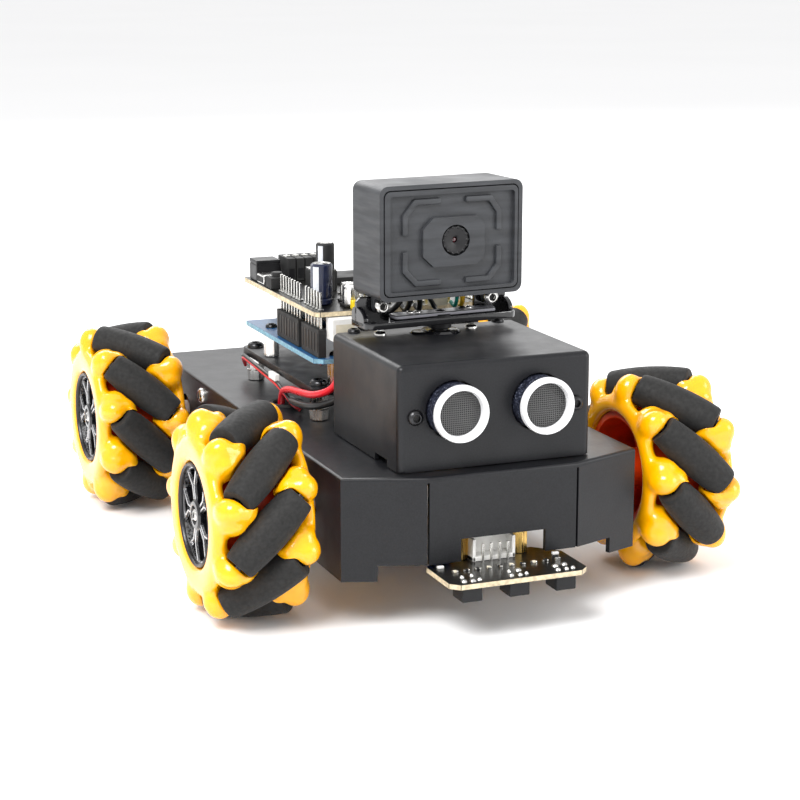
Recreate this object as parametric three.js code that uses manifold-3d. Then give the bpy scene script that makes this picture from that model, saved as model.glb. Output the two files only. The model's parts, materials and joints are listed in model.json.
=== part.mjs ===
// Four-wheel mecanum robot car: a folded sheet-metal chassis on four geared motors, a sensor head box at
// the front with a panning camera on it, and two stacked circuit boards behind.
// Millimetres, +Z up, front towards -Y. The part stands on Z = 0, with the origin at the centre of its box.
import * as THREE from 'three';
import Module from 'manifold-3d';
import { mergeVertices } from 'three/addons/utils/BufferGeometryUtils.js';

const wasm = await Module();
wasm.setup();

// ---- driving dimensions ----
const GAP = 0.3; // between pieces that touch on the real object
const AXLE_MID_Y = 9.3; // the point midway between the axles, from the origin
const AXLE_HALF_BASE = 63; // half the wheelbase
const WHEEL_CENTRE_X = 65.3; // half the track
const WHEEL_RADIUS = 30;
const WHEEL_HALF_WIDTH = 15;

const SHEET = 1.5; // folded aluminium sheet
const DECK_TOP_Z = 43.2;
const DECK_HALF_WIDTH = 45;
const DECK_REAR_Y = 93;
const DECK_CORNER_Y = -87.8; // where the angled front facets meet the sides
const DECK_NOSE_Y = -96.1;
const NOSE_HALF_WIDTH = 22.6;
const SIDE_BOTTOM_Z = 13.9;
const FACET_BOTTOM_Z = 18.5;
const FACET_SLIT = 0.7;
const FOOT_WIDTH = 10;
const CUTOUT_HALF_WIDTH = 12.8;
const CUTOUT_TOP_Z = 24.9;
const AXLE_HOLE_RADIUS = 5;
const WIRE_HOLE = { x: -29.7, y: 2, radius: 4.8 };

const HEAD = { halfWidth: 29.1, frontY: -90.3, rearY: -38, topZ: 73.3, wall: 1.2 };
const SONAR = { x: 12.9, z: 60.1, radius: 8, frontY: -97.0, boardY: -85.6 };
const PAN = { x: 0.8, y: -48.4 }; // the camera head turns about this upright line
const HEAD_TURN = 4.5; // degrees that the camera head stands turned about it
const SERVO = { topZ: 71.8, bottomZ: 49.2, halfY: 6.1, rearX: -17, frontX: 6.9, boss: 5.9 };

const BRACKET = {
  halfWidth: 24.5, frontY: -53, rearY: -41.5, tabY: -43.7, bottomZ: 76.2, topZ: 78.2, sheet: 1.5, earTopZ: 82,
};
const HORN = { hub: 3.4, left: -15.5, right: 17.5, halfWidth: 2.6, thickness: 1 };
const CAMERA = { halfWidth: 23, frontY: -57.5, rearY: -39.7, bottomZ: 84.9, topZ: 117.8, corner: 2.5 };
const CAMERA_PLATE = 2.3; // thickness of its front cover
const LUG = { x: 17.9, z: 82.1, radius: 2.3 }; // what the camera is screwed to the bracket by
const LENS = { x: 1.2, z: 101.3, radius: 4.2 };

const PLATE = { halfWidth: 30.8, frontY: -27, rearY: 44.3, bottomZ: 51.7, topZ: 54.1 };
const STANDOFF = { x: 27.3, frontY: -21.4, rearY: 40, radius: 2.9 };
const BOARD = { left: -31.1, right: 23.5, rearY: 37.8, frontY: -29.9, thickness: 1.6 };
const LOWER_BOARD_Z = 62.0; // underside of the controller board
const UPPER_BOARD_Z = 76.2; // underside of the expansion board

const LINE_BOARD = {
  centreX: -1.5, halfWidth: 20.6, frontY: -111.6, rearY: -87.2, bottomZ: 15.6, topZ: 17.2, chamfer: 6.5,
};
const MOTOR = {
  thickness: 18.8, halfHeight: 11, endBeyondShaft: 11, gearboxLength: 37, canRadius: 9.4, canLength: 26,
};
const BATTERY = { halfWidth: 19, halfLength: 35, bottomZ: 20.5, topZ: 41.2 };

const ROLLERS = 9;
const ROLLER_RING = 24.5; // from the wheel's axle to a roller's axis
const ROLLER_HALF_LENGTH = 12.5;
const ROLLER_BORE = 1.6;
const ROLLER_SIDES = 10;
const ROLLER_STEPS = 4;
const PIN_RADIUS = 1.1;
const PIN_HALF_LENGTH = 19;
const FLANGE_INNER = 12.3; // from the wheel's middle plane to its flanges
const FLANGE_RADIUS = 22.5;
const LOBE_RADIUS = 5.1;
const HUB_OPENING = 14.7;
const HUB_RECESS = 5;
const CORE_RADIUS = 17.4;
const SHAFT_RADIUS = 2.7;

// side is +1 at +X, end is +1 at the rear; phase is the angle of one roller about the axle, from +Y
const WHEELS = [
  { name: 'front_right', side: -1, end: -1, phase: 19 },
  { name: 'rear_right', side: -1, end: 1, phase: 29 },
  { name: 'front_left', side: 1, end: -1, phase: 0 },
  { name: 'rear_left', side: 1, end: 1, phase: 10 },
];

// ---- finishes ----
function finish(color, roughness, metalness = 0) {
  return new THREE.MeshStandardMaterial({ color, roughness, metalness });
}


const POWDER_COAT = finish(0x26272b, 0.45, 0.3);
const YELLOW = finish(0xffc400, 0.25);
const RUBBER = finish(0x242424, 0.85);
const DARK_PLASTIC = finish(0x2b2e31, 0.6);
const GLOSS_BLACK = finish(0x0c0c0e, 0.2);
const BLUE_BOARD = finish(0x1f6fa8, 0.45);
const BLACK_BOARD = finish(0x14140f, 0.4);
const MOTOR_YELLOW = finish(0xe8b020, 0.5);
const BATTERY_WRAP = finish(0x2a4fa0, 0.5);
const RED_WIRE = finish(0xc81e2d, 0.45);
const BLACK_WIRE = finish(0x161616, 0.5);

// ---- solids ----
const THIN_SLIVER = 1e-4;

function solid(geometry) {
  const bare = geometry.clone();
  bare.deleteAttribute('normal');
  bare.deleteAttribute('uv');
  const merged = mergeVertices(bare, THIN_SLIVER);
  const corners = merged.index.array;
  const triangles = [];
  for (let i = 0; i < corners.length; i += 3) {
    const [a, b, c] = [corners[i], corners[i + 1], corners[i + 2]];
    if (a !== b && b !== c && c !== a) triangles.push(a, b, c);
  }
  return new wasm.Manifold(new wasm.Mesh({
    numProp: 3,
    vertProperties: merged.attributes.position.array,
    triVerts: new Uint32Array(triangles),
  }));
}

function geometryOf(shape) {
  const result = shape.getMesh();
  const geometry = new THREE.BufferGeometry();
  geometry.setAttribute('position', new THREE.BufferAttribute(result.vertProperties, 3));
  geometry.setIndex(new THREE.BufferAttribute(result.triVerts, 1));
  geometry.computeVertexNormals();
  return geometry;
}

const join = (shapes) => shapes.reduce((whole, shape) => whole.add(shape));
const cut = (shape, tools) => tools.reduce((rest, tool) => rest.subtract(tool), shape);

function box(x0, x1, y0, y1, z0, z1) {
  const geometry = new THREE.BoxGeometry(x1 - x0, y1 - y0, z1 - z0);
  geometry.translate((x0 + x1) / 2, (y0 + y1) / 2, (z0 + z1) / 2);
  return solid(geometry);
}

// a round bar from one point to another
function bar(from, to, radius, sides = 12) {
  const start = new THREE.Vector3(...from);
  const end = new THREE.Vector3(...to);
  const along = end.clone().sub(start);
  const geometry = new THREE.CylinderGeometry(radius, radius, along.length(), sides);
  const upwards = new THREE.Vector3(0, 1, 0);
  const turn = new THREE.Quaternion().setFromUnitVectors(upwards, along.clone().normalize());
  geometry.applyQuaternion(turn);
  geometry.translate(...start.add(end).multiplyScalar(0.5).toArray());
  return solid(geometry);
}

function outline(points) {
  return new THREE.Shape(points.map(([x, y]) => new THREE.Vector2(x, y)));
}

// a flat outline in X and Y, as thick as z1 - z0
function slab(points, z0, z1) {
  const geometry = new THREE.ExtrudeGeometry(outline(points), { depth: z1 - z0, bevelEnabled: false });
  geometry.translate(0, 0, z0);
  return solid(geometry);
}

// a flat outline in X and Z, between two values of Y
function upright(points, y0, y1) {
  const geometry = new THREE.ExtrudeGeometry(outline(points), { depth: y1 - y0, bevelEnabled: false });
  geometry.rotateX(Math.PI / 2);
  geometry.translate(0, y1, 0);
  return solid(geometry);
}

// a flat outline in Y and Z, between two values of X
function sideways(points, x0, x1) {
  const geometry = new THREE.ExtrudeGeometry(outline(points), { depth: x1 - x0, bevelEnabled: false });
  geometry.rotateX(Math.PI / 2);
  geometry.rotateZ(Math.PI / 2);
  geometry.translate(x0, 0, 0);
  return solid(geometry);
}

function roundedRectangle(x0, x1, z0, z1, radius, steps = 3) {
  const centres = [[x1 - radius, z1 - radius], [x0 + radius, z1 - radius],
    [x0 + radius, z0 + radius], [x1 - radius, z0 + radius]];
  const points = [];
  centres.forEach(([cx, cz], corner) => {
    for (let step = 0; step <= steps; step += 1) {
      const angle = (corner + step / steps) * Math.PI / 2;
      points.push([cx + radius * Math.cos(angle), cz + radius * Math.sin(angle)]);
    }
  });
  return points;
}

const model = new THREE.Group();
model.position.y = AXLE_MID_Y;

// everything that turns with the camera
const cameraHead = new THREE.Group();
cameraHead.position.set(PAN.x, PAN.y, 0);
cameraHead.rotation.z = THREE.MathUtils.degToRad(HEAD_TURN);
model.add(cameraHead);

function add(name, geometry, material) {
  const mesh = new THREE.Mesh(geometry, material);
  mesh.name = name;
  model.add(mesh);
}

function addToHead(name, geometry, material) {
  const mesh = new THREE.Mesh(geometry.translate(-PAN.x, -PAN.y, 0), material);
  mesh.name = name;
  cameraHead.add(mesh);
}

// ---- chassis deck: one folded sheet ----
function angledFacet(side) {
  const run = DECK_HALF_WIDTH - NOSE_HALF_WIDTH;
  const rise = DECK_CORNER_Y - DECK_NOSE_Y;
  const length = Math.hypot(run, rise);
  const shape = outline([
    [0, SIDE_BOTTOM_Z], [FOOT_WIDTH, SIDE_BOTTOM_Z], [FOOT_WIDTH, FACET_BOTTOM_Z],
    [length - FACET_SLIT / 2, FACET_BOTTOM_Z], [length - FACET_SLIT / 2, DECK_TOP_Z], [0, DECK_TOP_Z],
  ]);
  const geometry = new THREE.ExtrudeGeometry(shape, { depth: SHEET, bevelEnabled: false });
  geometry.rotateX(Math.PI / 2);
  geometry.translate(0, SHEET, 0);
  geometry.rotateZ(-Math.atan2(rise, run));
  geometry.translate(-DECK_HALF_WIDTH, DECK_CORNER_Y, 0);
  const facet = solid(geometry);
  return side < 0 ? facet : facet.mirror([1, 0, 0]);
}

function noseFacet() {
  const half = NOSE_HALF_WIDTH - FACET_SLIT / 2;
  return upright([
    [-half, FACET_BOTTOM_Z], [-CUTOUT_HALF_WIDTH, FACET_BOTTOM_Z], [-CUTOUT_HALF_WIDTH, CUTOUT_TOP_Z],
    [CUTOUT_HALF_WIDTH, CUTOUT_TOP_Z], [CUTOUT_HALF_WIDTH, FACET_BOTTOM_Z], [half, FACET_BOTTOM_Z],
    [half, DECK_TOP_Z], [-half, DECK_TOP_Z],
  ], DECK_NOSE_Y, DECK_NOSE_Y + SHEET);
}

function chassisDeck() {
  const w = DECK_HALF_WIDTH;
  const top = slab([
    [-w, DECK_REAR_Y], [-w, DECK_CORNER_Y], [-NOSE_HALF_WIDTH, DECK_NOSE_Y],
    [NOSE_HALF_WIDTH, DECK_NOSE_Y], [w, DECK_CORNER_Y], [w, DECK_REAR_Y],
  ], DECK_TOP_Z - SHEET, DECK_TOP_Z);
  const sides = [-1, 1].map((side) => box(
    Math.min(side * w, side * (w - SHEET)), Math.max(side * w, side * (w - SHEET)),
    DECK_CORNER_Y, DECK_REAR_Y, SIDE_BOTTOM_Z, DECK_TOP_Z,
  ));
  const rear = box(-w, w, DECK_REAR_Y - SHEET, DECK_REAR_Y, FACET_BOTTOM_Z, DECK_TOP_Z);
  const folded = join([top, ...sides, rear, noseFacet(), angledFacet(-1), angledFacet(1)]);
  const holes = WHEELS.map(({ side, end }) => {
    const y = end * AXLE_HALF_BASE;
    return bar([side * (w - 3), y, WHEEL_RADIUS], [side * (w + 3), y, WHEEL_RADIUS], AXLE_HOLE_RADIUS);
  });
  const { x: holeX, y: holeY, radius: holeRadius } = WIRE_HOLE;
  const wireHole = bar([holeX, holeY, DECK_TOP_Z - 5], [holeX, holeY, DECK_TOP_Z + 5], holeRadius);
  return cut(folded, [...holes, wireHole]);
}

add('chassis_deck', geometryOf(chassisDeck()), POWDER_COAT);

// ---- sensor head box: a folded cover, open below ----
function headBox() {
  const { halfWidth: w, frontY, rearY, topZ, wall } = HEAD;
  const bottomZ = DECK_TOP_Z + GAP;
  const shell = box(-w, w, frontY, rearY, bottomZ, topZ);
  const inside = box(-w + wall, w - wall, frontY + wall, rearY - wall, bottomZ - 1, topZ - wall);
  const eyes = [-1, 1].map((side) => bar(
    [side * SONAR.x, frontY - 3, SONAR.z], [side * SONAR.x, frontY + 3, SONAR.z], SONAR.radius + GAP, 20,
  ));
  const bossHole = bar([PAN.x, PAN.y, topZ - 3], [PAN.x, PAN.y, topZ + 3], SERVO.boss + GAP, 16);
  const idlerHole = bar([PAN.x - 6.2, PAN.y, topZ - 3], [PAN.x - 6.2, PAN.y, topZ + 3], 3.2, 12);
  const sideNotch = box(-w - 1, -w + 3, -81.8, -72.7, bottomZ - 1, bottomZ + 2);
  const cableNotch = box(-12, 12, rearY - 3, rearY + 1, bottomZ - 1, bottomZ + 9);
  return cut(shell, [inside, ...eyes, bossHole, idlerHole, sideNotch, cableNotch]);
}

add('head_box', geometryOf(headBox()), POWDER_COAT);

// ---- ultrasonic module: a board with two transducer cans ----
function ultrasonicModule() {
  const board = box(-22.5, 22.5, SONAR.boardY, SONAR.boardY + 1.6, SONAR.z - 10, SONAR.z + 10);
  const cans = [-SONAR.x, SONAR.x].map((x) => bar(
    [x, SONAR.boardY + 0.5, SONAR.z], [x, SONAR.frontY, SONAR.z], SONAR.radius, 20,
  ));
  return join([board, ...cans]);
}

add('ultrasonic_module', geometryOf(ultrasonicModule()), BLACK_BOARD);

// ---- pan servo, hung under the top of the head box ----
function panServo() {
  const { topZ, bottomZ, halfY, rearX, frontX, boss } = SERVO;
  const body = box(rearX, frontX, PAN.y - halfY, PAN.y + halfY, bottomZ, topZ);
  const ears = box(rearX - 4.6, frontX + 4.6, PAN.y - halfY, PAN.y + halfY, topZ - 6.2, topZ - 3.7);
  const tower = bar([PAN.x, PAN.y, topZ - 1], [PAN.x, PAN.y, HEAD.topZ + 0.9], boss, 16);
  const idler = bar([PAN.x - 6.2, PAN.y, topZ - 1], [PAN.x - 6.2, PAN.y, HEAD.topZ + 0.9], 2.9, 12);
  return join([body, ears, tower, idler]);
}

add('pan_servo', geometryOf(panServo()), GLOSS_BLACK);

// ---- servo horn: its hub comes up through the bracket, which its arm is screwed to ----
function servoHorn() {
  const { hub, left, right, halfWidth, thickness } = HORN;
  const armZ = BRACKET.topZ + GAP;
  const disc = bar([PAN.x, PAN.y, HEAD.topZ + 0.9 + GAP], [PAN.x, PAN.y, armZ + thickness], hub, 16);
  const corner = 1.2;
  const arm = slab([
    [left, corner - halfWidth], [left + corner, -halfWidth], [right - corner, -halfWidth],
    [right, corner - halfWidth], [right, halfWidth - corner], [right - corner, halfWidth],
    [left + corner, halfWidth], [left, halfWidth - corner],
  ], armZ, armZ + thickness);
  return disc.add(arm.translate([PAN.x, PAN.y, 0]));
}

addToHead('servo_horn', geometryOf(servoHorn()), GLOSS_BLACK);

// ---- camera bracket: base plate, two side ears and two upright tabs ----
function cameraBracket() {
  const { halfWidth: w, frontY, rearY, tabY, bottomZ, topZ, sheet, earTopZ } = BRACKET;
  const corner = 3;
  const base = slab([
    [-w, rearY], [-w, frontY + corner], [-w + corner, frontY],
    [w - corner, frontY], [w, frontY + corner], [w, rearY],
  ], bottomZ, topZ);
  const hubHole = bar([PAN.x, PAN.y, bottomZ - 1], [PAN.x, PAN.y, topZ + 1], HORN.hub + GAP, 16);
  const earSteps = 5;
  const reach = (rearY - 2.5) - (frontY + corner);
  const profile = [[rearY, bottomZ], [frontY + corner, bottomZ]];
  for (let step = 0; step <= earSteps; step += 1) {
    const angle = step / earSteps * Math.PI / 2;
    profile.push([rearY - 2.5 - reach * Math.cos(angle), topZ + (earTopZ - topZ) * Math.sin(angle)]);
  }
  profile.push([rearY, earTopZ - 1.5]);
  const ears = [sideways(profile, -w, -w + sheet), sideways(profile, w - sheet, w)];
  const tabs = [-1, 1].map((side) => box(
    Math.min(side * w, side * 14), Math.max(side * w, side * 14),
    tabY - sheet, tabY, bottomZ, CAMERA.bottomZ - GAP,
  ));
  return join([base.subtract(hubHole), ...ears, ...tabs]);
}

addToHead('camera_bracket', geometryOf(cameraBracket()), GLOSS_BLACK);

// ---- camera: rear shell with two lugs, front cover and lens ----
function cameraHousing() {
  const { halfWidth: w, frontY, rearY, bottomZ, topZ, corner } = CAMERA;
  const wall = 1.8;
  const start = frontY + CAMERA_PLATE + GAP;
  const shell = upright(roundedRectangle(-w, w, bottomZ, topZ, corner), start, rearY);
  const inside = box(-w + wall, w - wall, start - 1, rearY - wall, bottomZ + wall, topZ - wall);
  const lugs = [-1, 1].map((side) => {
    const x = side * LUG.x;
    const ends = [BRACKET.tabY - 4, BRACKET.tabY - BRACKET.sheet - GAP];
    const top = box(x - LUG.radius, x + LUG.radius, ends[0], ends[1], LUG.z, bottomZ + 1);
    const round = bar([x, ends[0], LUG.z], [x, ends[1], LUG.z], LUG.radius);
    return top.add(round);
  });
  return join([shell.subtract(inside), ...lugs]);
}

function cameraFront() {
  const { halfWidth: w, frontY, bottomZ, topZ, corner } = CAMERA;
  const plate = upright(roundedRectangle(-w, w, bottomZ, topZ, corner), frontY, frontY + CAMERA_PLATE);
  const field = upright(roundedRectangle(-19.7, 20.4, 87.5, 114.8, 1.5), frontY - 1, frontY + 0.6);
  const plateau = upright([
    [-9.3, 97.1], [-5.9, 94], [8, 94], [10.6, 96.8],
    [10.6, 105.4], [8, 108.1], [-6, 108.1], [-9.3, 104.9],
  ], frontY + 0.1, frontY + 1);
  const hole = bar([LENS.x, frontY - 2, LENS.z], [LENS.x, frontY + 4, LENS.z], LENS.radius + GAP, 20);
  return plate.subtract(field).add(plateau).subtract(hole);
}

function cameraLens() {
  const start = CAMERA.frontY + 0.4;
  const barrel = bar([LENS.x, start, LENS.z], [LENS.x, start + 9, LENS.z], LENS.radius, 20);
  const board = box(-12, 14, start + 8, start + 9.6, 91, 112);
  return barrel.add(board);
}

addToHead('camera_housing', geometryOf(cameraHousing()), DARK_PLASTIC);
addToHead('camera_front', geometryOf(cameraFront()), DARK_PLASTIC);
addToHead('camera_lens', geometryOf(cameraLens()), GLOSS_BLACK);

// ---- board mounting plate on four standoffs ----
function mountingPlate() {
  const { halfWidth: w, frontY, rearY, bottomZ, topZ } = PLATE;
  const plate = slab(roundedRectangle(-w, w, frontY, rearY, 2.5, 2), bottomZ, topZ);
  const posts = [];
  for (const x of [-STANDOFF.x, STANDOFF.x]) {
    for (const y of [STANDOFF.frontY, STANDOFF.rearY]) {
      posts.push(bar([x, y, DECK_TOP_Z + GAP], [x, y, bottomZ + 1], STANDOFF.radius, 6));
    }
  }
  return join([plate, ...posts]);
}

add('mounting_plate', geometryOf(mountingPlate()), DARK_PLASTIC);

// ---- controller board on its own standoffs ----
function controllerBoard() {
  const { left, right, rearY, frontY, thickness } = BOARD;
  const top = LOWER_BOARD_Z + thickness;
  const board = slab([
    [left, rearY], [left, frontY + 2.5], [left + 2.5, frontY], [right, frontY], [right, rearY],
  ], LOWER_BOARD_Z, top);
  const postPlaces = [
    [left + 4, rearY - 14], [right - 4, rearY - 14], [left + 8, frontY + 5], [right - 8, frontY + 5],
  ];
  const posts = postPlaces.map(([x, y]) => bar(
    [x, y, PLATE.topZ + GAP], [x, y, LOWER_BOARD_Z + 1], 2.6, 6,
  ));
  const usb = box(left + 10, left + 22, rearY - 10, rearY + 6, top - 0.5, top + 10.8);
  const powerJack = box(right - 12.5, right - 3.5, rearY - 12, rearY + 1.5, top - 0.5, top + 10.8);
  return join([board, ...posts, usb, powerJack]);
}

add('controller_board', geometryOf(controllerBoard()), BLUE_BOARD);

// ---- expansion board: plugs onto the controller by two rows of headers ----
function expansionBoard() {
  const { left, right, rearY, frontY, thickness } = BOARD;
  const top = UPPER_BOARD_Z + thickness;
  const board = slab([
    [left, rearY + 1], [left, frontY + 1.5], [left + 1.5, frontY], [right, frontY], [right, rearY + 1],
  ], UPPER_BOARD_Z, top);
  const headerBottom = LOWER_BOARD_Z + thickness + GAP;
  const headers = [left + 1.3, right - 3.8].map((x) => box(
    x, x + 2.5, frontY + 1.2, rearY - 26, headerBottom, UPPER_BOARD_Z + 0.5,
  ));
  const capacitors = [
    bar([-24.7, -17.5, top - 0.5], [-24.7, -17.5, 90.5], 3.3, 12),
    bar([-20.6, -9.5, top - 0.5], [-20.6, -9.5, 95.4], 2.8, 12),
  ];
  const terminals = [
    box(left + 0.8, left + 9, rearY - 9.5, rearY - 2, top - 0.5, top + 6.8),
    box(left + 9.5, left + 25, rearY - 13, rearY - 3, top - 0.5, top + 8),
  ];
  const socket = box(-27, -19, frontY - 3.3, frontY + 3, 69.3, 74.8);
  const socketNeck = box(-27, -19, frontY + 1, frontY + 3, 74, UPPER_BOARD_Z + 0.5);
  return join([board, ...headers, ...capacitors, ...terminals, socket, socketNeck]);
}

add('expansion_board', geometryOf(expansionBoard()), BLACK_BOARD);

// ---- line sensor board, hung under the nose on two brass standoffs ----
function lineSensor() {
  const { centreX, halfWidth: w, frontY, rearY, bottomZ, topZ, chamfer } = LINE_BOARD;
  const small = 2.5;
  const board = slab([
    [-w, rearY - chamfer], [-w, frontY + small], [-w + small, frontY], [w - small, frontY],
    [w, frontY + small], [w, rearY - chamfer], [w - chamfer, rearY], [-w + chamfer, rearY],
  ], bottomZ, topZ);
  const eyes = [-14, 0, 14].map((x) => box(
    x - 3, x + 3, frontY + 1.5, frontY + 8.5, bottomZ - 4.2, bottomZ + 0.5,
  ));
  const postY = rearY - 2.4;
  const posts = [-9, 9].map((x) => bar(
    [x, postY, topZ - 0.5], [x, postY, DECK_TOP_Z - SHEET - GAP], 2.6, 6,
  ));
  return join([board, ...eyes, ...posts]).translate([centreX, 0, 0]);
}

add('line_sensor', geometryOf(lineSensor()), BLACK_BOARD);

// ---- battery pack under the deck ----
function batteryPack() {
  const { halfWidth: w, halfLength: l, bottomZ, topZ } = BATTERY;
  return upright(roundedRectangle(-w, w, bottomZ, topZ, 9, 4), -l, l);
}

add('battery_pack', geometryOf(batteryPack()), BATTERY_WRAP);

// ---- gear motors: a flat gearbox against each side flange, its motor can pointing inwards ----
function gearMotor({ side, end }) {
  const { thickness, halfHeight, endBeyondShaft, gearboxLength, canRadius, canLength } = MOTOR;
  const outer = DECK_HALF_WIDTH - SHEET - GAP;
  const inner = outer - thickness;
  const shaftY = end * AXLE_HALF_BASE;
  const ends = [shaftY + end * endBeyondShaft, shaftY + end * (endBeyondShaft - gearboxLength)];
  const x = [side * inner, side * outer];
  const gearbox = box(
    Math.min(...x), Math.max(...x), Math.min(...ends), Math.max(...ends),
    WHEEL_RADIUS - halfHeight, WHEEL_RADIUS + halfHeight,
  );
  const middle = side * (inner + outer) / 2;
  const canEnd = ends[1] - end * canLength;
  const can = bar([middle, ends[1] + end, WHEEL_RADIUS], [middle, canEnd, WHEEL_RADIUS], canRadius, 16);
  return gearbox.add(can);
}

WHEELS.forEach((wheel) => add(`gear_motor_${wheel.name}`, geometryOf(gearMotor(wheel)), MOTOR_YELLOW));

// ---- power leads: out of the deck's wire hole, past the mounting plate and up to the expansion board ----
function lead(points, radius) {
  const curve = new THREE.CatmullRomCurve3(points.map((point) => new THREE.Vector3(...point)));
  const section = new THREE.Shape();
  section.absarc(0, 0, radius, 0, Math.PI * 2);
  return solid(new THREE.ExtrudeGeometry(section, {
    extrudePath: curve, steps: 22, curveSegments: 4, bevelEnabled: false,
  }));
}

const RED_LEAD = [
  [-31.2, 2.6, 40.6], [-31.4, 2, 44], [-32.2, -2.5, 48.4], [-32.5, -10, 50.6], [-32.6, -20, 51.8],
  [-31.4, -29.5, 53], [-28, -34.4, 55.5], [-25.2, -34.6, 60], [-24.4, -33, 65], [-24.6, -31.6, 69],
];
const BLACK_LEAD = [
  [-28.2, 1, 40.6], [-28.4, 0.6, 42.8], [-30, -4, 45.8], [-32.4, -12, 47.4], [-32.6, -21, 48.2],
  [-31.2, -30, 49.6], [-26.4, -35, 52.4], [-22.2, -35, 58], [-21.2, -33, 64], [-21.4, -31.6, 69],
];
add('power_lead_red', geometryOf(lead(RED_LEAD, 1.15)), RED_WIRE);
add('power_lead_black', geometryOf(lead(BLACK_LEAD, 1.15)), BLACK_WIRE);

// ---- wheels: two lobed flanges on a core, nine pins and nine free rollers ----
const LEAN = Math.SQRT1_2; // the rollers lie at 45 degrees to the axle

// a point on a roller's axis in the wheel's own frame: along is measured from the roller's middle
function onRollerAxis(angle, hand, along) {
  return [
    along * LEAN,
    ROLLER_RING * Math.cos(angle) + hand * along * LEAN * Math.sin(angle),
    ROLLER_RING * Math.sin(angle) - hand * along * LEAN * Math.cos(angle),
  ];
}

function rollerAngles({ phase }) {
  const turns = Array.from({ length: ROLLERS }, (_, index) => phase + index * 360 / ROLLERS);
  return turns.map(THREE.MathUtils.degToRad);
}

function flange(wheel, hand, outward) {
  const x = outward * (FLANGE_INNER + WHEEL_HALF_WIDTH) / 2;
  const half = (WHEEL_HALF_WIDTH - FLANGE_INNER) / 2;
  const disc = bar([x - half, 0, 0], [x + half, 0, 0], FLANGE_RADIUS, 18);
  const lobes = rollerAngles(wheel).map((angle) => {
    const [, y, z] = onRollerAxis(angle, hand, outward * PIN_HALF_LENGTH * 0.94);
    const pull = (WHEEL_RADIUS - 0.9 - LOBE_RADIUS) / Math.hypot(y, z);
    return bar([x - half, y * pull, z * pull], [x + half, y * pull, z * pull], LOBE_RADIUS, 8);
  });
  return join([disc, ...lobes]);
}

function wheelBody(wheel) {
  const hand = wheel.side * wheel.end;
  const w = WHEEL_HALF_WIDTH;
  const core = bar([-w, 0, 0], [w, 0, 0], CORE_RADIUS, 18);
  const pins = rollerAngles(wheel).map((angle) => bar(
    onRollerAxis(angle, hand, -PIN_HALF_LENGTH), onRollerAxis(angle, hand, PIN_HALF_LENGTH), PIN_RADIUS, 5,
  ));
  const outer = wheel.side;
  const face = bar([outer * (w - HUB_RECESS), 0, 0], [outer * (w + 1), 0, 0], HUB_OPENING, 18);
  const back = bar([-outer * (w + 1), 0, 0], [-outer * 1, 0, 0], HUB_OPENING, 18);
  const gearboxFace = WHEEL_CENTRE_X - (DECK_HALF_WIDTH - SHEET - GAP) - GAP;
  const shaft = bar([outer * 5, 0, 0], [-outer * gearboxFace, 0, 0], SHAFT_RADIUS, 8);
  const boss = bar([outer * 2, 0, 0], [-outer * (w - 1), 0, 0], 6, 12);
  const hollow = cut(join([core, flange(wheel, hand, 1), flange(wheel, hand, -1)]), [face, back]);
  return join([hollow, ...pins, boss, shaft]);
}

function rollerRadius(along) {
  return WHEEL_RADIUS - Math.hypot(ROLLER_RING, along * LEAN);
}

function rollerGeometry() {
  const points = [new THREE.Vector2(ROLLER_BORE, -ROLLER_HALF_LENGTH)];
  for (let step = 0; step <= ROLLER_STEPS; step += 1) {
    const along = ROLLER_HALF_LENGTH * (2 * step / ROLLER_STEPS - 1);
    points.push(new THREE.Vector2(rollerRadius(along), along));
  }
  points.push(new THREE.Vector2(ROLLER_BORE, ROLLER_HALF_LENGTH));
  points.push(points[0].clone());
  const geometry = new THREE.LatheGeometry(points, ROLLER_SIDES);
  return geometryOf(solid(geometry));
}

// turns a roller's own axis (+Y) onto its place, with one edge of its outline facing outwards
function placeRoller(mesh, angle, hand) {
  const middle = new THREE.Vector3(...onRollerAxis(angle, hand, 0));
  const along = new THREE.Vector3(...onRollerAxis(angle, hand, 1)).sub(middle);
  const outward = new THREE.Vector3(0, Math.cos(angle), Math.sin(angle));
  const across = new THREE.Vector3().crossVectors(along, outward);
  mesh.quaternion.setFromRotationMatrix(new THREE.Matrix4().makeBasis(across, along, outward));
  mesh.position.copy(middle);
}

for (const wheel of WHEELS) {
  const hub = new THREE.Group();
  hub.position.set(wheel.side * WHEEL_CENTRE_X, wheel.end * AXLE_HALF_BASE, WHEEL_RADIUS);
  model.add(hub);
  const body = new THREE.Mesh(geometryOf(wheelBody(wheel)), YELLOW);
  body.name = `wheel_${wheel.name}`;
  hub.add(body);
  rollerAngles(wheel).forEach((angle, index) => {
    const roller = new THREE.Mesh(rollerGeometry(), RUBBER);
    roller.name = `roller_${wheel.name}_${index + 1}`;
    placeRoller(roller, angle, wheel.side * wheel.end);
    hub.add(roller);
  });
}

export default model;
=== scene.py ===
import json
import math

import bmesh
import bpy
import numpy as np
from mathutils import Matrix, Vector


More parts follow.
